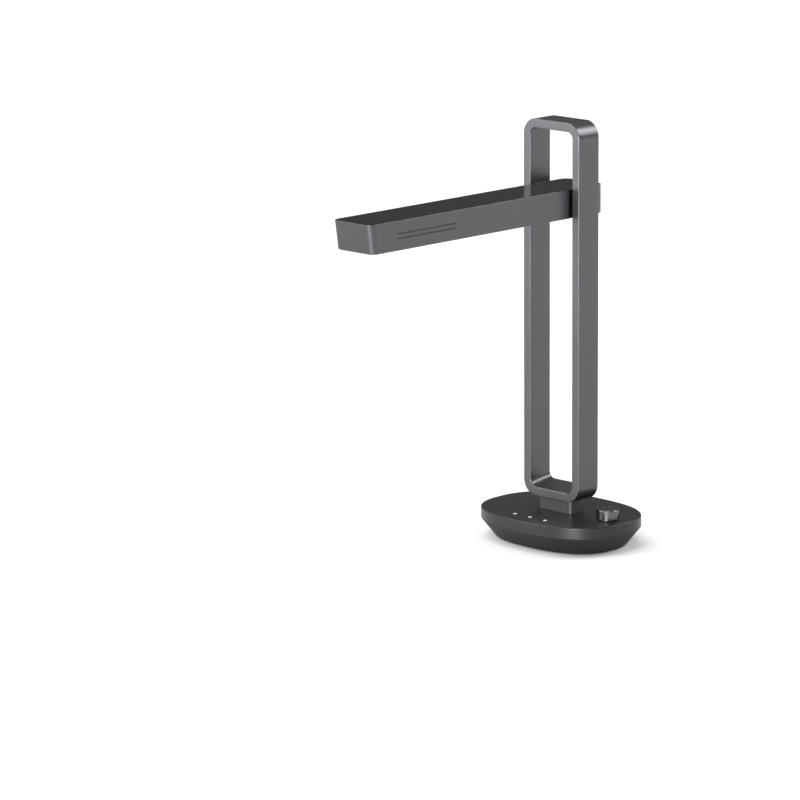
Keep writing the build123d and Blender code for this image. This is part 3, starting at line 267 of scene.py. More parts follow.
def base_oval(inset, height):
    """Plan of the base, drawn in by inset: a squared oval."""
    half_width = cover_high.x - inset
    half_depth = cover_high.y - inset
    power = 2 / OVAL_SQUARENESS
    points = []
    for step in range(OVAL_POINTS):
        angle = 2 * math.pi * (step + 0.5) / OVAL_POINTS
        across = math.copysign(abs(math.cos(angle)) ** power, math.cos(angle))
        along = math.copysign(abs(math.sin(angle)) ** power, math.sin(angle))
        points.append((half_width * across, half_depth * along))
    return points


def new_group(name, takes, gives):
    """A shader node group with named inputs and outputs, and its two ends."""
    group = bpy.data.node_groups.new(name, "ShaderNodeTree")
    face = group.interface
    for label, kind, value in takes:
        socket = face.new_socket(label, in_out="INPUT", socket_type="NodeSocket" + kind)
        socket.default_value = value
    for label, kind in gives:
        face.new_socket(label, in_out="OUTPUT", socket_type="NodeSocket" + kind)
    return group, add(group, "NodeGroupInput").outputs, add(group, "NodeGroupOutput").inputs


def use_group(tree, group, **values):
    """Places a node group in a material with its own values."""
    takes = {label.replace("_", " "): value for label, value in values.items()}
    return add(tree, "ShaderNodeGroup", takes, node_tree=group)


def place_on(tree):
    """The place on the object, which the textures follow."""
    return add(tree, "ShaderNodeTexCoord").outputs["Object"]


def noise(tree, place, scale, detail=2.0):
    """Noise texture over a place, with its scale per metre."""
    takes = {"Vector": place, "Scale": scale, "Detail": detail}
    return add(tree, "ShaderNodeTexNoise", takes).outputs[0]


def maths(tree, operation, *values, clamp=False):
    """Result of a maths node on up to three values."""
    takes = dict(enumerate(values))
    return add(tree, "ShaderNodeMath", takes, operation=operation, use_clamp=clamp).outputs[0]


def vector_length(tree, vector):
    """Length of a vector."""
    return add(tree, "ShaderNodeVectorMath", {0: vector}, operation="LENGTH").outputs["Value"]


def mix(tree, share, first, second):
    """Colour mix of two colours by a share."""
    return add(tree, "ShaderNodeMix", {0: share, 6: first, 7: second}, data_type="RGBA").outputs[2]


def spread(tree, value, low, high, start=0.0, stop=1.0):
    """Maps a value from the range start to stop onto low to high."""
    takes = {"Value": value, "From Min": start, "From Max": stop, "To Min": low, "To Max": high}
    return add(tree, "ShaderNodeMapRange", takes).outputs["Result"]


def link_sockets(tree, shader, **sources):
    """Links node outputs to a shader's sockets by name."""
    for socket, source in sources.items():
        tree.links.new(source, shader.inputs[socket.replace("_", " ")])


def emboss(tree, shader, height, distance, strength=1.0):
    """Raises a shader's surface by a height texture, over a distance in millimetres."""
    takes = {"Height": height, "Strength": strength, "Distance": distance * MM}
    link_sockets(tree, shader, Normal=add(tree, "ShaderNodeBump", takes).outputs[0])


# grain: fine surface texture with slow patches of colour and shine
GRAIN_INPUTS = (
    ("Colour", "Color", (0.5, 0.5, 0.5, 1)),
    ("Grains per metre", "Float", 3000.0),
    ("Colour spread", "Float", 0.1),
    ("Roughness", "Float", 0.5),
    ("Roughness spread", "Float", 0.1),
    ("Patches per metre", "Float", 30.0),
)
GRAIN_OUTPUTS = (("Colour", "Color"), ("Roughness", "Float"), ("Height", "Float"))
grain, grain_in, grain_out = new_group("surface_grain", GRAIN_INPUTS, GRAIN_OUTPUTS)
grain_place = place_on(grain)
fine = noise(grain, grain_place, grain_in["Grains per metre"], 3.0)
slow = noise(grain, grain_place, grain_in["Patches per metre"], 4.0)
speck = maths(grain, "SUBTRACT", maths(grain, "ADD", fine, slow), 1.0)
shade = maths(grain, "MULTIPLY_ADD", speck, grain_in["Colour spread"], 1.0)
shaded = {0: grain_in["Colour"], "Scale": shade}
tint = add(grain, "ShaderNodeVectorMath", shaded, operation="SCALE").outputs[0]
patch = maths(grain, "SUBTRACT", slow, 0.5)
patch_values = (patch, grain_in["Roughness spread"], grain_in["Roughness"])
shine = maths(grain, "MULTIPLY_ADD", *patch_values, clamp=True)
for label, source in (("Colour", tint), ("Roughness", shine), ("Height", fine)):
    grain.links.new(source, grain_out[label])

# edge wear and painted highlight: a mask along convex and concave edges, broken up by noise;
# a finish turns its edges paler by it, as wear and as a painted highlight on the edges
EDGE_MASK_INPUTS = (("Width", "Float", 0.0006), ("Strength", "Float", 1.0))
wear_and_highlight_group, edge_mask_in, edge_mask_out = new_group("edge_wear_and_highlight", EDGE_MASK_INPUTS, (("Mask", "Float"),))
true_normal = add(wear_and_highlight_group, "ShaderNodeNewGeometry").outputs["Normal"]
round_normal = add(wear_and_highlight_group, "ShaderNodeBevel", {"Radius": edge_mask_in["Width"]}, samples=4).outputs[0]
normals = {0: true_normal, 1: round_normal}
facing = add(wear_and_highlight_group, "ShaderNodeVectorMath", normals, operation="DOT_PRODUCT").outputs["Value"]
edge = spread(wear_and_highlight_group, facing, 1.0, 0.0, 0.90, 0.999)
scuffs = spread(wear_and_highlight_group, noise(wear_and_highlight_group, place_on(wear_and_highlight_group), 420.0, 4.0), 0.25, 1.0, 0.42, 0.62)
broken_edge = maths(wear_and_highlight_group, "MULTIPLY", edge, scuffs)
broken_edge = maths(wear_and_highlight_group, "MULTIPLY", broken_edge, edge_mask_in["Strength"], clamp=True)
wear_and_highlight_group.links.new(broken_edge, edge_mask_out["Mask"])


def finish(
    name, colour, metallic, roughness, grain_size, bump, wear_and_highlight_to=None, wear_and_highlight_share=0.5, wear_and_highlight_width=0.5,
    colour_spread=0.25, roughness_spread=0.12, patches=35.0, **settings,
):
    """A finish with grain, patches of shine and, if an edge colour is given, edges turned to it:
    wear and painted highlight.
    """
    material, tree, shader = new_material(name, Metallic=metallic, **settings)
    surface = use_group(
        tree,
        grain,
        Colour=(*colour, 1),
        Grains_per_metre=1000 / grain_size,
        Colour_spread=colour_spread,
        Roughness=roughness,
        Roughness_spread=roughness_spread,
        Patches_per_metre=patches,
    ).outputs
    base = surface["Colour"]
    if wear_and_highlight_to:
        mask = use_group(tree, wear_and_highlight_group, Width=wear_and_highlight_width * MM, Strength=wear_and_highlight_share).outputs["Mask"]
        base = mix(tree, mask, base, (*wear_and_highlight_to, 1))
    link_sockets(tree, shader, Base_Color=base, Roughness=surface["Roughness"])
    emboss(tree, shader, surface["Height"], bump)
    return material


pad_rubber = finish("pad_rubber", (0.018, 0.018, 0.019), 0.0, 0.78, 0.5, 0.05)
pad_low, pad_high = box_mm("non_slip_pad")
pad_inset = cover_high.x - pad_high.x
groove_in, groove_out, groove_depth = PAD_GROOVE
pad = skin("non_slip_pad_moulded", level_rings(base_oval, [
    (pad_inset + groove_out, pad_low.z),
    (pad_inset + groove_out - GROOVE_SLOPE, pad_low.z + groove_depth),
    (pad_inset + groove_in + GROOVE_SLOPE, pad_low.z + groove_depth),
    (pad_inset + groove_in, pad_low.z),
    *bottom_edge(pad_low.z, PAD_EDGE, pad_inset),
    (pad_inset, pad_high.z),
]))
dress(pad, pad_rubber, "root", "pad_rubber", "non_slip_pad")

# Lower shell: a moulded tub of dark textured ABS that draws in towards the desk, its colour
# painted darker than the cover's as painted shade under the base. Its lip goes up into the cover,
# and the fine groove between them is the parting line.
SHELL_WALL = 2.2
FOOT_ROUND = 2.5
PARTING = 0.22
LIP = 1.3
LIP_GAP = 0.15
RIM_HEIGHT = 10.5
FOOT_INSET = 13.0
FLOOR_LEVEL = 2.0
shell_low, shell_high = box_mm("base_bottom_shell")
rim_bottom = cover_high.z - RIM_HEIGHT
slope = math.atan2(FOOT_INSET, rim_bottom - shell_low.z)


def taper(height):
    """How far the shell has drawn in at a height."""
    return (rim_bottom - height) * math.tan(slope)


foot_centre_z = shell_low.z + FOOT_ROUND
foot_centre = taper(foot_centre_z) + FOOT_ROUND / math.cos(slope)
foot_turns = [math.pi / 2 + (slope - math.pi / 2) * step / 6 for step in range(7)]
foot_round = [
    (foot_centre - FOOT_ROUND * math.cos(a), foot_centre_z - FOOT_ROUND * math.sin(a))
    for a in foot_turns
]
base_plastic = finish(
    "base_plastic", (0.011, 0.011, 0.012), 0.0, 0.37, 0.35, 0.015,
    wear_and_highlight_to=(0.030, 0.030, 0.033), wear_and_highlight_share=0.35, roughness_spread=0.10, Specular_IOR_Level=0.3,
)
# Painted shade: the shell's colour is darker than the cover's, for the shade under the base.
shell_plastic_painted_shade = finish(
    "shell_plastic_painted_shade", (0.006, 0.006, 0.0065), 0.0, 0.55, 0.5, 0.05,
    wear_and_highlight_to=(0.03, 0.03, 0.032), wear_and_highlight_share=0.35, roughness_spread=0.10, Specular_IOR_Level=0.25,
)
shell_levels = [
    (pad_inset - LIP_GAP, pad_high.z),
    (pad_inset - LIP_GAP, shell_low.z + 0.1),
    (pad_inset - LIP_GAP - 0.1, shell_low.z),
    *foot_round,
    (taper(rim_bottom - PARTING), rim_bottom - PARTING),
    (PARTING, rim_bottom),
    (SHELL_WALL + LIP_GAP, rim_bottom),
    (SHELL_WALL + LIP_GAP, shell_high.z),
    (SHELL_WALL + LIP_GAP + LIP, shell_high.z),
    (SHELL_WALL + LIP_GAP + LIP, rim_bottom - 2 * LIP),
    (taper(pad_high.z + FLOOR_LEVEL) + SHELL_WALL, pad_high.z + FLOOR_LEVEL),
]
lower_shell = skin("base_bottom_shell_moulded", level_rings(base_oval, shell_levels))
dress(lower_shell, shell_plastic_painted_shade, "root", "base_plastic", "base_bottom_shell")

# Top cover: the moulded ABS cover with an upright rim and a flat top, in a finer texture than
# the shell, with holes for the three light keys, the knob's bushing and the two rear sockets.
RIM_ROUND = 1.3
COVER_TOP = 2.4
KEY_HEAD = 2.8
KEY_HOLE = 2.15
BUSHING_HOLE = 3.95
HOLE_REACH = 5
POWER_HOLE = 3.5
USB_GAP = 0.15
PORT_DEPTH = 12.0


def cut(piece, *cutters):
    """Cuts closed cutter pieces out of a piece and takes the cutters away."""
    for cutter in cutters:
        step = piece.modifiers.new("cut", "BOOLEAN")
        step.object = cutter
        step.solver = "EXACT"
        piece.modifiers.move(len(piece.modifiers) - 1, 0)
    bpy.context.view_layer.update()
    whole = piece.evaluated_get(bpy.context.evaluated_depsgraph_get())
    form = bmesh.new()
    form.from_mesh(bpy.data.meshes.new_from_object(whole))
    bmesh.ops.dissolve_degenerate(form, dist=0.00001, edges=form.edges)
    smooth(form)
    form.to_mesh(piece.data)
    form.free()
    for step in [m for m in piece.modifiers if m.type == "BOOLEAN"]:
        piece.modifiers.remove(step)
    for cutter in cutters:
        bpy.data.objects.remove(cutter)


def circle(x, y, radius, steps=48):
    """Points round a circle."""
    turns = [2 * math.pi * step / steps for step in range(steps)]
    return [(x + radius * math.cos(a), y + radius * math.sin(a)) for a in turns]


def rounded(width, depth, radius, steps=8):
    """Points round a rounded rectangle about the origin, anticlockwise."""
    points = []
    for corner in range(4):
        across = 1 if corner in (0, 3) else -1
        along = 1 if corner in (0, 1) else -1
        for step in range(steps + 1):
            angle = math.pi / 2 * (corner + step / steps)
            points.append((
                across * (width / 2 - radius) + radius * math.cos(angle),
                along * (depth / 2 - radius) + radius * math.sin(angle),
            ))
    return points


def upright(points, start, stop):
    """Rings of a straight upright prism over plan points."""
    return [[(x, y, z) for x, y in points] for z in (start, stop)]


key_low, key_high = box_mm("key_lights")
knob_low, knob_high = box_mm("knob_cap")
knob_x, knob_y = (knob_low.x + knob_high.x) / 2, (knob_low.y + knob_high.y) / 2
usb_low, usb_high = box_mm("usb_socket")
power_low, power_high = box_mm("power_socket")
key_y = (key_low.y + key_high.y) / 2
key_places = [(x, key_y) for x in (key_low.x + KEY_HEAD, 0.0, key_high.x - KEY_HEAD)]
cover_levels = [
    (SHELL_WALL, cover_high.z - COVER_TOP),
    (SHELL_WALL, rim_bottom),
    (PARTING, rim_bottom),
    (0, rim_bottom + PARTING),
    *top_edge(cover_high.z, RIM_ROUND, steps=8),
]
cover = skin("base_top_cover_moulded", level_rings(base_oval, cover_levels))
hole_ends = (cover_high.z - HOLE_REACH, cover_high.z + HOLE_REACH)
holes = [upright(circle(x, y, KEY_HOLE), *hole_ends) for x, y in key_places]
holes.append(upright(circle(knob_x, knob_y, BUSHING_HOLE), *hole_ends))
usb_width = usb_high.x - usb_low.x
usb_height = usb_high.z - usb_low.z
usb_radius = usb_height / 2 + USB_GAP - 0.01
usb_slot = rounded(usb_width + 2 * USB_GAP, usb_height + 2 * USB_GAP, usb_radius)
power_x, power_z = (power_low.x + power_high.x) / 2, (power_low.z + power_high.z) / 2
port_face = usb_high.y - PORT_DEPTH / 2
for points, x, z in (
    (usb_slot, (usb_low.x + usb_high.x) / 2, (usb_low.z + usb_high.z) / 2),
    (circle(0, 0, POWER_HOLE), power_x, power_z),
):
    holes.append([
        [(x + u, y, z + w) for u, w in points] for y in (port_face, port_face + PORT_DEPTH)
    ])
cut(cover, skin("cover_holes", *holes))
dress(cover, base_plastic, "root", "base_plastic", "base_top_cover")

# Ballast, bolts and steel: a cast iron plate on the floor of the base, the zinc-plated plate,
# nuts and hinge parts, and blackened screws. All keep their machined shapes.
def wear_shape(node, material):
    """Gives a CAD node that keeps its shape a finish of its own."""
    piece = frame["nodes"][node]
    piece.data.materials.clear()
    piece.data.materials.append(material)


cast_iron = finish(
    "cast_iron", (0.055, 0.055, 0.058), 0.4, 0.68, 1.6, 0.16,
    wear_and_highlight_to=(0.22, 0.21, 0.20), wear_and_highlight_share=0.8, wear_and_highlight_width=0.8, colour_spread=0.6,
)
wear_shape("ballast_plate", cast_iron)
plated_steel = finish(
    "plated_steel", (0.50, 0.50, 0.49), 1.0, 0.34, 0.6, 0.01,
    wear_and_highlight_to=(0.66, 0.66, 0.65), wear_and_highlight_share=0.5, colour_spread=0.18, patches=160.0, roughness_spread=0.3,
)
for node in (
    "foot_plate", "hinge_anchor_left", "hinge_anchor_right", "hinge_stub_left", "hinge_stub_right",
    "friction_clip_left", "friction_clip_right", "arm_chassis", "press_spring", "knob_shaft",
    "encoder_nut", "column_nuts",
):
    wear_shape(node, plated_steel)
screw_steel = finish(
    "screw_steel", (0.10, 0.10, 0.105), 1.0, 0.36, 0.4, 0.01,
    wear_and_highlight_to=(0.38, 0.38, 0.38), wear_and_highlight_share=0.9, wear_and_highlight_width=0.25, colour_spread=0.3,
)
for node in (
    "base_screws", "board_screws", "column_bolts", "hinge_screws", "clip_screws",
    "arm_board_screws",
):
    wear_shape(node, screw_steel)

# Circuit boards: glass-fibre boards under green solder mask, with fine copper tracks and bare
# pads that show through it, and black moulded chips soldered on.
TRACKS_PER_METRE = 260.0
PADS_PER_METRE = 330.0
SOLDER_MASK = (0.006, 0.060, 0.026, 1)
MASKED_TRACK = (0.018, 0.15, 0.062, 1)
BARE_PAD = (0.62, 0.58, 0.46, 1)
board_green, board_tree, board_shader = new_material("board_green", Roughness=0.3, Coat_Weight=0.3)
board_place = place_on(board_tree)
tracks = add(
    board_tree, "ShaderNodeTexBrick",
    {"Vector": board_place, "Scale": TRACKS_PER_METRE, "Mortar Size": 0.06, "Mortar Smooth": 0.2,
     "Color1": (0, 0, 0, 1), "Color2": (0.3, 0.3, 0.3, 1), "Mortar": (1, 1, 1, 1)},
).outputs
pad_cells = {"Vector": board_place, "Scale": PADS_PER_METRE, "Randomness": 0.7}
pad_distance = add(board_tree, "ShaderNodeTexVoronoi", pad_cells).outputs["Distance"]
pad_mask = spread(board_tree, pad_distance, 1.0, 0.0, 0.16, 0.2)
board_colour = mix(board_tree, tracks["Color"], SOLDER_MASK, MASKED_TRACK)
link_sockets(
    board_tree, board_shader,
    Base_Color=mix(board_tree, pad_mask, board_colour, BARE_PAD),
    Metallic=spread(board_tree, pad_mask, 0.0, 0.85),
)
emboss(board_tree, board_shader, tracks["Fac"], 0.04)
for node in ("base_board", "touch_board", "encoder_board", "control_board", "camera_board"):
    wear_shape(node, board_green)
chip_black = finish("chip_black", (0.022, 0.022, 0.024), 0.0, 0.55, 0.25, 0.03)
for node in ("board_chips", "processor_chip"):
    wear_shape(node, chip_black)

# Sockets and connectors: the USB shell is drawn nickel-plated steel, the power socket and the
# cable connectors are moulded in black nylon.
socket_metal = finish(
    "socket_metal", (0.62, 0.61, 0.58), 1.0, 0.22, 0.8, 0.008,
    wear_and_highlight_to=(0.8, 0.79, 0.76), wear_and_highlight_share=0.6, wear_and_highlight_width=0.2, roughness_spread=0.2, patches=300.0,
)
wear_shape("usb_socket", socket_metal)
black_plastic = finish(
    "black_plastic", (0.016, 0.016, 0.017), 0.0, 0.5, 0.3, 0.02,
    wear_and_highlight_to=(0.05, 0.05, 0.052), wear_and_highlight_share=0.4, wear_and_highlight_width=0.3,
)
for node in (
    "power_socket", "cable_connector", "arm_connector", "knob_core", "press_plunger",
    "lens_barrel", "encoder_body",
):
    wear_shape(node, black_plastic)

# Light keys: three clear domed pins that carry light up through the cover. Each glows white
# over the last millimetre, most of all along its middle.
KEY_RADIUS = 2.0
KEY_DOME = 0.25
KEY_HEAD_THICKNESS = 1.2
GLOW_DEPTH = 1.2


def turned(profile, x=0.0, y=0.0, steps=64):
    """Rings of a turned shape about an upright axis, from (radius, height) pairs."""
    return [[(u, v, z) for u, v in circle(x, y, radius, steps)] for radius, z in profile]


clear_keys, key_tree, key_shader = new_material(
    "clear_keys", Roughness=0.18, IOR=1.49, Emission_Strength=1.0
)
key_place = place_on(key_tree)
key_parts = add(key_tree, "ShaderNodeSeparateXYZ", {"Vector": key_place}).outputs
glow_start = (cover_high.z - GLOW_DEPTH) * MM
key_glow = spread(key_tree, key_parts["Z"], 0.0, 1.0, glow_start, cover_high.z * MM)
key_step = key_places[2][0] * MM
key_across = maths(key_tree, "WRAP", key_parts["X"], key_step / 2, -key_step / 2)
key_along = maths(key_tree, "SUBTRACT", key_parts["Y"], key_y * MM)
key_offset = add(key_tree, "ShaderNodeCombineXYZ", {"X": key_across, "Y": key_along}).outputs[0]
key_radius = vector_length(key_tree, key_offset)
key_core = spread(key_tree, key_radius, 1.0, 0.15, 1.0 * MM, 1.9 * MM)
key_glow = maths(key_tree, "MULTIPLY", key_glow, key_core)
key_milk = noise(key_tree, key_place, 900.0)
link_sockets(
    key_tree, key_shader,
    Base_Color=mix(key_tree, key_milk, (0.26, 0.27, 0.28, 1), (0.36, 0.37, 0.39, 1)),
    Emission_Color=mix(key_tree, key_glow, (0.0, 0.0, 0.0, 1), (0.50, 0.53, 0.56, 1)),
)
key_top = cover_high.z + KEY_DOME
key_neck_z = key_low.z + KEY_HEAD_THICKNESS
key_profile = [
    (KEY_HEAD, key_low.z), (KEY_HEAD, key_neck_z), (KEY_RADIUS, key_neck_z),
    (KEY_RADIUS, cover_high.z - 0.1), (KEY_RADIUS - 0.15, cover_high.z + 0.05),
    (KEY_RADIUS - 0.7, key_top - 0.06), (0.5, key_top),
]
keys = skin("key_lights_domed", *[turned(key_profile, x, y, 40) for x, y in key_places])
dress(keys, clear_keys, "root", "clear_keys", "key_lights")

# Neck: a die-cast block that lifts the column off the base, painted satin in a slightly paler
# grey than the cover.
NECK_RADIUS = 6.0
NECK_EDGE = 0.35
neck_low, neck_high = box_mm("neck_block")


def neck_plan(inset, height):
    """Plan of the neck, drawn in by inset."""
    return rounded(2 * (neck_high.x - inset), 2 * (neck_high.y - inset), NECK_RADIUS - inset, 12)


neck_paint = finish(
    "neck_paint", (0.038, 0.038, 0.040), 0.5, 0.32, 0.3, 0.02,
    wear_and_highlight_to=(0.12, 0.12, 0.125), wear_and_highlight_share=0.3, wear_and_highlight_width=0.3,
)
neck_levels = bottom_edge(neck_low.z, NECK_EDGE) + top_edge(neck_high.z, NECK_EDGE)
neck = skin("neck_block_cast", level_rings(neck_plan, neck_levels))
dress(neck, neck_paint, "root", "base_plastic", "neck_block")

# Column: flat aluminium tube bent into an upright loop with a weld ground flush, bead blasted
# and anodised dark grey. The window's sill is milled to a slope that meets the folded arm, and
# each leg has a pocket that takes the flange of a hinge stub.
LOOP_SECTION = 8.34
LOOP_RADIUS = 14.5
LOOP_EDGE = 0.7
SILL_RISE = 3.65
BEND_STEPS = 20
FLANGE_POCKET = (18.3, 26.3, 1.3)  # along Y, along Z, into the leg
POCKET_RADIUS = 3.0
loop_low, loop_high = box_mm("column_loop")
pivot_z = frame["joints"][0]["pos_m"][2] / MM
loop_middle_z = (loop_low.z + loop_high.z) / 2
bend = LOOP_RADIUS - LOOP_SECTION / 2


def anodised(name, colour, roughness=0.33):
    """Bead-blasted anodised aluminium, a little paler along its edges: handling wear and a painted
    highlight.
    """
    wear_and_highlight_colour = tuple(1.9 * part for part in colour)
    return finish(
        name, colour, 1.0, roughness, 0.16, 0.012, wear_and_highlight_to=wear_and_highlight_colour, wear_and_highlight_share=0.4, wear_and_highlight_width=0.35,
        colour_spread=0.10, roughness_spread=0.07, patches=24.0,
    )


loop_rings = []
for corner in range(4):
    across = 1 if corner in (0, 3) else -1
    up = 1 if corner in (0, 1) else -1
    centre_x = across * (loop_high.x - LOOP_RADIUS)
    centre_z = loop_middle_z + up * (loop_high.z - loop_middle_z - LOOP_RADIUS)
    for step in range(BEND_STEPS + 1):
        angle = math.pi / 2 * (corner + step / BEND_STEPS)
        out_x, out_z = math.cos(angle), math.sin(angle)
        ring = []
        for u, v in rounded(LOOP_SECTION, loop_high.y - loop_low.y, LOOP_EDGE, 4):
            on_sill = up < 0 and u < 0
            lift = SILL_RISE * (v - loop_low.y) / (loop_high.y - loop_low.y) if on_sill else 0
            ring.append((centre_x + (bend + u) * out_x, v, centre_z + (bend + u) * out_z + lift))
        loop_rings.append(ring)
column = skin("column_loop_bent", loop_rings, looped=True)
pocket_depth, pocket_height, pocket_reach = FLANGE_POCKET
window_x = loop_high.x - LOOP_SECTION
pocket_plan = rounded(pocket_depth, pocket_height, POCKET_RADIUS)
pocket_ends = (window_x - 2, window_x + pocket_reach)
pockets = [
    [[(side * x, y, pivot_z + z) for y, z in pocket_plan] for x in pocket_ends] for side in (-1, 1)
]
cut(column, skin("pockets", *pockets))
column_metal = anodised("column_metal", (0.095, 0.095, 0.100))
dress(column, column_metal, "root", "column_metal", "column_loop")

# Hinge washers and cables: smooth black acetal washers, and round cable in a soft PVC sleeve.
washer_plastic = finish("washer_plastic", (0.024, 0.024, 0.025), 0.0, 0.4, 0.4, 0.01)
for node in ("hinge_washer_left", "hinge_washer_right"):
    wear_shape(node, washer_plastic)
cable_sleeve = finish("cable_sleeve", (0.012, 0.012, 0.012), 0.0, 0.5, 0.7, 0.03)
for node in ("column_cable", "arm_cable"):
    wear_shape(node, cable_sleeve)

# Knob: a turned aluminium cap over a plastic core, with a cut bevel round its top, a faintly
# dished face and the fine rings that the lathe tool leaves.
KNOB_WALL = 1.2
KNOB_BEVEL = 0.7
KNOB_DISH = 0.15
RINGS_PER_METRE = 2600.0
knob_radius = (knob_high.x - knob_low.x) / 2
knob_metal, knob_tree, knob_shader = new_material("knob_metal", Metallic=1.0)
knob_skin = use_group(
    knob_tree, grain, Colour=(0.115, 0.115, 0.121, 1), Grains_per_metre=5000.0, Colour_spread=0.1,
    Roughness=0.24, Roughness_spread=0.08, Patches_per_metre=120.0,
)
# Paler edges on the cap: edge wear and a painted highlight on the edges.
knob_wear_and_highlight = use_group(knob_tree, wear_and_highlight_group, Width=0.3 * MM, Strength=0.6).outputs["Mask"]
knob_colour = mix(knob_tree, knob_wear_and_highlight, knob_skin.outputs["Colour"], (0.22, 0.22, 0.23, 1))
link_sockets(
    knob_tree, knob_shader, Base_Color=knob_colour, Roughness=knob_skin.outputs["Roughness"]
)
to_axis = {0: place_on(knob_tree), 1: (-knob_x * MM, -knob_y * MM, 0)}
knob_place = add(knob_tree, "ShaderNodeVectorMath", to_axis, operation="ADD").outputs[0]
lathe_rings = add(
    knob_tree, "ShaderNodeTexWave",
    {"Vector": knob_place, "Scale": RINGS_PER_METRE, "Distortion": 0.0},
    wave_type="RINGS", rings_direction="Z",
).outputs[0]
emboss(knob_tree, knob_shader, lathe_rings, 0.006, strength=0.6)
knob_profile = [
    (knob_radius - KNOB_WALL, knob_high.z - KNOB_WALL),
    (knob_radius - KNOB_WALL, knob_low.z),
    (knob_radius - 0.25, knob_low.z),
    (knob_radius, knob_low.z + 0.25),
    (knob_radius, knob_high.z - KNOB_BEVEL - 0.1),
    (knob_radius - 0.05, knob_high.z - KNOB_BEVEL),
    (knob_radius - KNOB_BEVEL, knob_high.z - 0.06),
    (knob_radius - KNOB_BEVEL - 0.12, knob_high.z),
    (knob_radius - KNOB_BEVEL - 0.7, knob_high.z),
    (knob_radius - KNOB_BEVEL - 1.1, knob_high.z - KNOB_DISH),
    (1.0, knob_high.z - KNOB_DISH - 0.05),
]
knob = skin("knob_cap_turned", turned(knob_profile, knob_x, knob_y, 96))
dress(knob, knob_metal, "knob", "knob_metal", "knob_cap")

# Arm housing: a milled aluminium tray, blasted and anodised like the column. Its front leans
# back, two rows of vent slots run along each side, and a thin rim frames the top panel.
ARM_SLANT = 3.65
ARM_RADIUS = 7.4
ARM_WALL = 2.4
ARM_FLOOR = 1.8
PANEL_RIM = 0.9
PANEL_DEPTH = 1.8
VENT_ROWS = 2
VENT_COUNT = 24
VENT_PITCH = 3.0
VENT_ROW_PITCH = 4.1
VENT_SLOT = (2.1, 1.0)  # length, height
VENT_SETBACK = 34.5
VENT_DROP = 11.3
LAMP_SIZE = (15.0, 140.0)  # width, length
BEZEL_RADIUS = 9.0
SCREW_HEAD = 2.3
HINGE_HOLE = 4.9
SCREW_HOLE = 1.4
SINK_DEPTH = 1.05
arm_low, arm_high = box_mm("arm_housing")
bezel_low, bezel_high = box_mm("camera_bezel")
camera_y = (bezel_low.y + bezel_high.y) / 2
lamp_low, lamp_high = box_mm("lamp_diffuser")
lamp_y = (lamp_low.y + lamp_high.y) / 2
screws_low, screws_high = box_mm("chassis_screws")
screw_places = [
    (x, y)
    for x in (screws_low.x + SCREW_HEAD, screws_high.x - SCREW_HEAD)
    for y in (screws_low.y + SCREW_HEAD, screws_high.y - SCREW_HEAD)
]


def arm_plan(inset, height):
    """Plan of the arm at a height, drawn in by inset, with its leaning front."""
    front = arm_low.y + ARM_SLANT * (arm_high.z - height) / (arm_high.z - arm_low.z) + inset
    rear = arm_high.y - inset
    plan = rounded(2 * (arm_high.x - inset), rear - front, ARM_RADIUS - inset, 14)
    return [(x, y + (front + rear) / 2) for x, y in plan]


arm_levels = [
    *bottom_edge(arm_low.z, 1.0, steps=6),
    *top_edge(arm_high.z, 0.4),
    (PANEL_RIM - 0.1, arm_high.z),
    (PANEL_RIM, arm_high.z - 0.1),
    (PANEL_RIM, arm_high.z - PANEL_DEPTH),
    (ARM_WALL, arm_high.z - PANEL_DEPTH),
    (ARM_WALL, arm_low.z + ARM_FLOOR),
]
housing = skin("arm_housing_milled", level_rings(arm_plan, arm_levels))
slot_plan = rounded(*VENT_SLOT, VENT_SLOT[1] / 2 - 0.001, 5)
vent_x = arm_high.x - ARM_WALL / 2
vents = []
for side in (-1, 1):
    for row in range(VENT_ROWS):
        z = arm_high.z - VENT_DROP - row * VENT_ROW_PITCH
        for count in range(VENT_COUNT):
            y = arm_low.y + VENT_SETBACK + count * VENT_PITCH
            vents.append([
                [(x, y + u, z + v) for u, v in slot_plan]
                for x in (side * (vent_x - ARM_WALL), side * (vent_x + ARM_WALL))
            ])
hinge_plan = circle(0, pivot_z, HINGE_HOLE)
vents.append([[(x, u, v) for u, v in hinge_plan] for x in (-arm_high.x - 2, arm_high.x + 2)])
lamp_plan = rounded(*LAMP_SIZE, LAMP_SIZE[0] / 2 - 0.001, 16)
above_floor = arm_low.z + ARM_FLOOR + 0.5
floor_cuts = [
    upright([(x, y + lamp_y) for x, y in lamp_plan], arm_low.z - 2, above_floor),
    upright(circle(0, camera_y, BEZEL_RADIUS + 0.08), arm_low.z - 2, above_floor),
]
sink = [
    (SCREW_HEAD + 1.15, arm_low.z - 1), (SCREW_HEAD + 0.15, arm_low.z),
    (SCREW_HOLE, arm_low.z + SINK_DEPTH), (SCREW_HOLE, above_floor),
]
for x, y in screw_places:
    floor_cuts.append(turned(sink, x, y, 40))
cut(housing, skin("vents", *vents), skin("floor_cuts", *floor_cuts))
arm_metal = anodised("arm_metal", (0.093, 0.093, 0.098))
dress(housing, arm_metal, "arm", "arm_metal", "arm_housing")

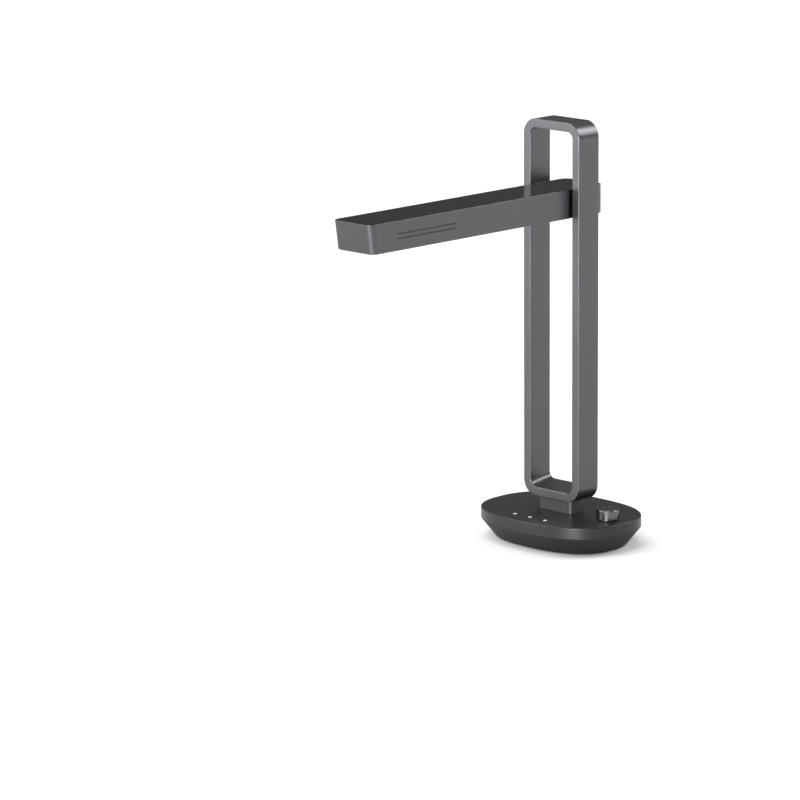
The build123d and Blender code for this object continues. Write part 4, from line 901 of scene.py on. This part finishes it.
# Top panel: a gloss black acrylic plate bonded into the top of the arm, with the faint dust and
# wipe marks that such a surface shows.
PANEL_GAP = 0.15
WIPES_PER_METRE = 160.0
SPECKS_PER_METRE = 620.0
panel_gloss, panel_tree, panel_shader = new_material(
    "panel_gloss", IOR=1.33, Specular_IOR_Level=0.35
)
panel_place = place_on(panel_tree)
stretched = add(panel_tree, "ShaderNodeMapping", {"Vector": panel_place, "Scale": (1, 0.12, 1)})
wipes = noise(panel_tree, stretched.outputs[0], WIPES_PER_METRE, 6.0)
speck_cells = {"Vector": panel_place, "Scale": SPECKS_PER_METRE}
dust = add(panel_tree, "ShaderNodeTexVoronoi", speck_cells).outputs["Distance"]
dust = spread(panel_tree, dust, 0.35, 0.0, 0.03, 0.10)
link_sockets(
    panel_tree, panel_shader,
    Base_Color=mix(panel_tree, dust, (0.006, 0.006, 0.007, 1), (0.05, 0.05, 0.052, 1)),
    Roughness=spread(panel_tree, wipes, 0.12, 0.20, 0.35, 0.7),
)
emboss(panel_tree, panel_shader, wipes, 0.001, strength=0.3)
panel_inset = PANEL_RIM + PANEL_GAP
panel_levels = [(panel_inset, arm_high.z - PANEL_DEPTH)] + top_edge(arm_high.z, 0.25, panel_inset)
panel = skin("arm_top_panel_bonded", level_rings(arm_plan, panel_levels))
dress(panel, panel_gloss, "arm", "panel_gloss", "arm_top_panel")

# Vent mesh: fine black woven wire bonded inside the slots, to keep dust out.
WIRES_PER_METRE = 2500.0
vent_cloth, cloth_tree, cloth_shader = new_material("vent_mesh_wire", Metallic=0.6, Roughness=0.5)
cloth_place = place_on(cloth_tree)


def bands(tree, place, per_metre, axis):
    """Even bands across one axis, from 0 to 1 and back."""
    takes = {"Vector": place, "Scale": per_metre}
    traits = {"bands_direction": axis, "wave_profile": "SIN"}
    return add(tree, "ShaderNodeTexWave", takes, **traits).outputs[0]


weave = [bands(cloth_tree, cloth_place, WIRES_PER_METRE, axis) for axis in ("Y", "Z")]
wires = maths(cloth_tree, "MAXIMUM", *weave)
cloth_colour = mix(cloth_tree, wires, (0.002, 0.002, 0.002, 1), (0.03, 0.03, 0.032, 1))
link_sockets(cloth_tree, cloth_shader, Base_Color=cloth_colour)
emboss(cloth_tree, cloth_shader, wires, 0.08)
wear_shape("vent_mesh", vent_cloth)

# Lamp: a milky polycarbonate diffuser in the floor of the arm, fluted along its length, under
# a bare aluminium strip with a row of light chips.
FLUTES_PER_METRE = 420.0
DIFFUSER_GAP = 0.15
FLANGE = 1.6
FLANGE_THICKNESS = 0.8
DIFFUSER_SKIN = 1.2
DIFFUSER_WALL = 1.35


def lamp_plan_at(inset, height):
    """Plan of the diffuser, drawn in by inset."""
    width = LAMP_SIZE[0] - 2 * (DIFFUSER_GAP + inset)
    length = LAMP_SIZE[1] - 2 * (DIFFUSER_GAP + inset)
    return [(x, y + lamp_y) for x, y in rounded(width, length, width / 2 - 0.001, 16)]


diffuser_white, milk_tree, milk_shader = new_material(
    "diffuser_white", IOR=1.58, Roughness=0.28, Subsurface_Weight=0.35, Subsurface_Scale=1.5 * MM
)
milk_place = place_on(milk_tree)
flutes = bands(milk_tree, milk_place, FLUTES_PER_METRE, "X")
cloudy = noise(milk_tree, milk_place, 90.0)
milk_colour = mix(milk_tree, cloudy, (0.80, 0.80, 0.77, 1), (0.88, 0.88, 0.86, 1))
link_sockets(milk_tree, milk_shader, Base_Color=milk_colour)
emboss(milk_tree, milk_shader, flutes, 0.12, strength=0.5)
flange_z = arm_low.z + ARM_FLOOR
flange_top_z = flange_z + FLANGE_THICKNESS
diffuser_levels = [
    *bottom_edge(lamp_low.z, 0.4),
    (0, flange_z), (-FLANGE, flange_z), (-FLANGE, flange_top_z), (0, flange_top_z),
    (0, lamp_high.z), (DIFFUSER_WALL, lamp_high.z), (DIFFUSER_WALL, lamp_low.z + DIFFUSER_SKIN),
]
diffuser = skin("lamp_diffuser_fluted", level_rings(lamp_plan_at, diffuser_levels))
dress(diffuser, diffuser_white, "arm", "diffuser_white", "lamp_diffuser")
bare_aluminium = finish(
    "bare_aluminium", (0.62, 0.62, 0.63), 1.0, 0.36, 0.5, 0.02,
    wear_and_highlight_to=(0.8, 0.8, 0.8), wear_and_highlight_share=0.4, colour_spread=0.15, roughness_spread=0.2,
)
for node in ("lamp_board", "heat_sink"):
    wear_shape(node, bare_aluminium)
lamp_chip = finish("lamp_chip", (0.88, 0.72, 0.24), 0.0, 0.35, 0.5, 0.02, colour_spread=0.2)
wear_shape("lamp_lights", lamp_chip)

# Camera: an anodised turned bezel with two cut grooves holds a coated cover glass. Behind it,
# a domed front lens sits in a black barrel that is threaded inside against stray light.
WINDOW_RADIUS = 6.4
GROOVE_RADII = (WINDOW_RADIUS + 0.7, WINDOW_RADIUS + 1.4)
GROOVE_DEPTH = 0.15
BEZEL_FLANGE = 1.5
LENS_RIM = 0.6
DOME_STEPS = 12
glass_low, glass_high = box_mm("cover_glass")
lens_low, lens_high = box_mm("front_lens")
lens_radius = (lens_high.x - lens_low.x) / 2
bezel_profile = [
    (WINDOW_RADIUS + 0.05, glass_high.z), (WINDOW_RADIUS + 0.05, glass_low.z),
    (WINDOW_RADIUS - 0.5, glass_low.z), (WINDOW_RADIUS - 0.35, bezel_low.z + 0.12),
    (WINDOW_RADIUS - 0.2, bezel_low.z),
]
for groove in GROOVE_RADII:
    bezel_profile += [
        (groove, bezel_low.z), (groove + 0.1, bezel_low.z + GROOVE_DEPTH),
        (groove + 0.2, bezel_low.z + GROOVE_DEPTH), (groove + 0.3, bezel_low.z),
    ]
bezel_profile += [
    (BEZEL_RADIUS - 0.3, bezel_low.z), (BEZEL_RADIUS, bezel_low.z + 0.3),
    (BEZEL_RADIUS, flange_z), (BEZEL_RADIUS + BEZEL_FLANGE, flange_z),
    (BEZEL_RADIUS + BEZEL_FLANGE, bezel_high.z), (WINDOW_RADIUS + 0.3, bezel_high.z),
    (WINDOW_RADIUS + 0.3, glass_high.z),
]
bezel_metal = anodised("bezel_metal", (0.075, 0.075, 0.080), 0.28)
bezel = skin("camera_bezel_turned", turned(bezel_profile, 0, camera_y, 96), looped=True)
dress(bezel, bezel_metal, "arm", "bezel_metal", "camera_bezel")
lens_glass, glass_tree, glass_shader = new_material(
    "lens_glass", Transmission_Weight=1.0, IOR=1.52, Coat_Weight=0.6, Coat_Roughness=0.02
)
haze = noise(glass_tree, place_on(glass_tree), 500.0, 5.0)
link_sockets(
    glass_tree, glass_shader,
    Roughness=spread(glass_tree, haze, 0.0, 0.04, 0.45, 0.8),
    Base_Color=mix(glass_tree, haze, (0.86, 0.90, 0.98, 1), (0.96, 0.97, 1.0, 1)),
)
pane_profile = [
    (WINDOW_RADIUS - 0.1, glass_low.z), (WINDOW_RADIUS, glass_low.z + 0.1),
    (WINDOW_RADIUS, glass_high.z - 0.1), (WINDOW_RADIUS - 0.1, glass_high.z),
]
pane = skin("cover_glass_polished", turned(pane_profile, 0, camera_y, 96))
dress(pane, lens_glass, "arm", "lens_glass", "cover_glass")
bulge = lens_high.z - LENS_RIM - lens_low.z
curve = (lens_radius ** 2 + bulge ** 2) / (2 * bulge)
reach = math.asin(lens_radius / curve)
dome_turns = [reach * step / DOME_STEPS for step in range(1, DOME_STEPS + 1)]
dome = [(curve * math.sin(a), lens_low.z + curve * (1 - math.cos(a))) for a in dome_turns]
dome[0] = (dome[0][0], lens_low.z)  # the flat pole reaches the CAD lens's lowest point
lens = skin("front_lens_domed", turned(dome + [(lens_radius, lens_high.z)], 0, camera_y, 96))
lens_coat, coat_tree, coat_shader = new_material(
    "lens_coat", Coat_Weight=1.0, Coat_Roughness=0.01, IOR=1.6
)
coat_place = place_on(coat_tree)
from_axis = coat_place
for operation, operand in (("ADD", (0, -camera_y * MM, 0)), ("MULTIPLY", (1, 1, 0))):
    takes = {0: from_axis, 1: operand}
    from_axis = add(coat_tree, "ShaderNodeVectorMath", takes, operation=operation).outputs[0]
pupil = spread(coat_tree, vector_length(coat_tree, from_axis), 0.0, 1.0, 1.3 * MM, 4.2 * MM)
link_sockets(
    coat_tree, coat_shader,
    Base_Color=mix(coat_tree, pupil, (0.002, 0.002, 0.004, 1), (0.030, 0.016, 0.055, 1)),
    Roughness=spread(coat_tree, noise(coat_tree, coat_place, 700.0), 0.02, 0.08),
)
dress(lens, lens_coat, "arm", "lens_glass", "front_lens")

# Chassis screws: four countersunk cross-head screws, blackened, sunk a tenth of a millimetre
# into the underside of the arm.
SCREW_SINK = 0.1
SHANK_RADIUS = 1.25
CROSS_REACH = 1.25
CROSS_HALF_WIDTH = 0.3
screw_z = screws_low.z + SCREW_SINK
screw_profile = [
    (SCREW_HEAD - 0.12, screw_z), (SCREW_HEAD, screw_z + 0.1), (SHANK_RADIUS, screw_z + 1.1),
    (SHANK_RADIUS, screws_high.z - 0.3), (SHANK_RADIUS - 0.3, screws_high.z),
]
screw_sets = [turned(screw_profile, x, y, 40) for x, y in screw_places]
cross_sizes = ((CROSS_REACH, CROSS_HALF_WIDTH), (CROSS_HALF_WIDTH, CROSS_REACH))
cross_ends = ((screw_z - 0.5, 1.1), (screw_z + 0.9, 0.72))
cross_cuts = []
for x, y in screw_places:
    for across, along in cross_sizes:
        corners = ((across, along), (-across, along), (-across, -along), (across, -along))
        cross_cuts.append([
            [(x + u * flare, y + v * flare, z) for u, v in corners] for z, flare in cross_ends
        ])
chassis_screws = skin("chassis_screws_cross", *screw_sets)
for half in (0, 1):  # the two slots of a cross overlap, so each direction is cut by itself
    cut(chassis_screws, skin("cross_cuts", *cross_cuts[half::2]))
dress(chassis_screws, screw_steel, "arm", "screw_steel", "chassis_screws")
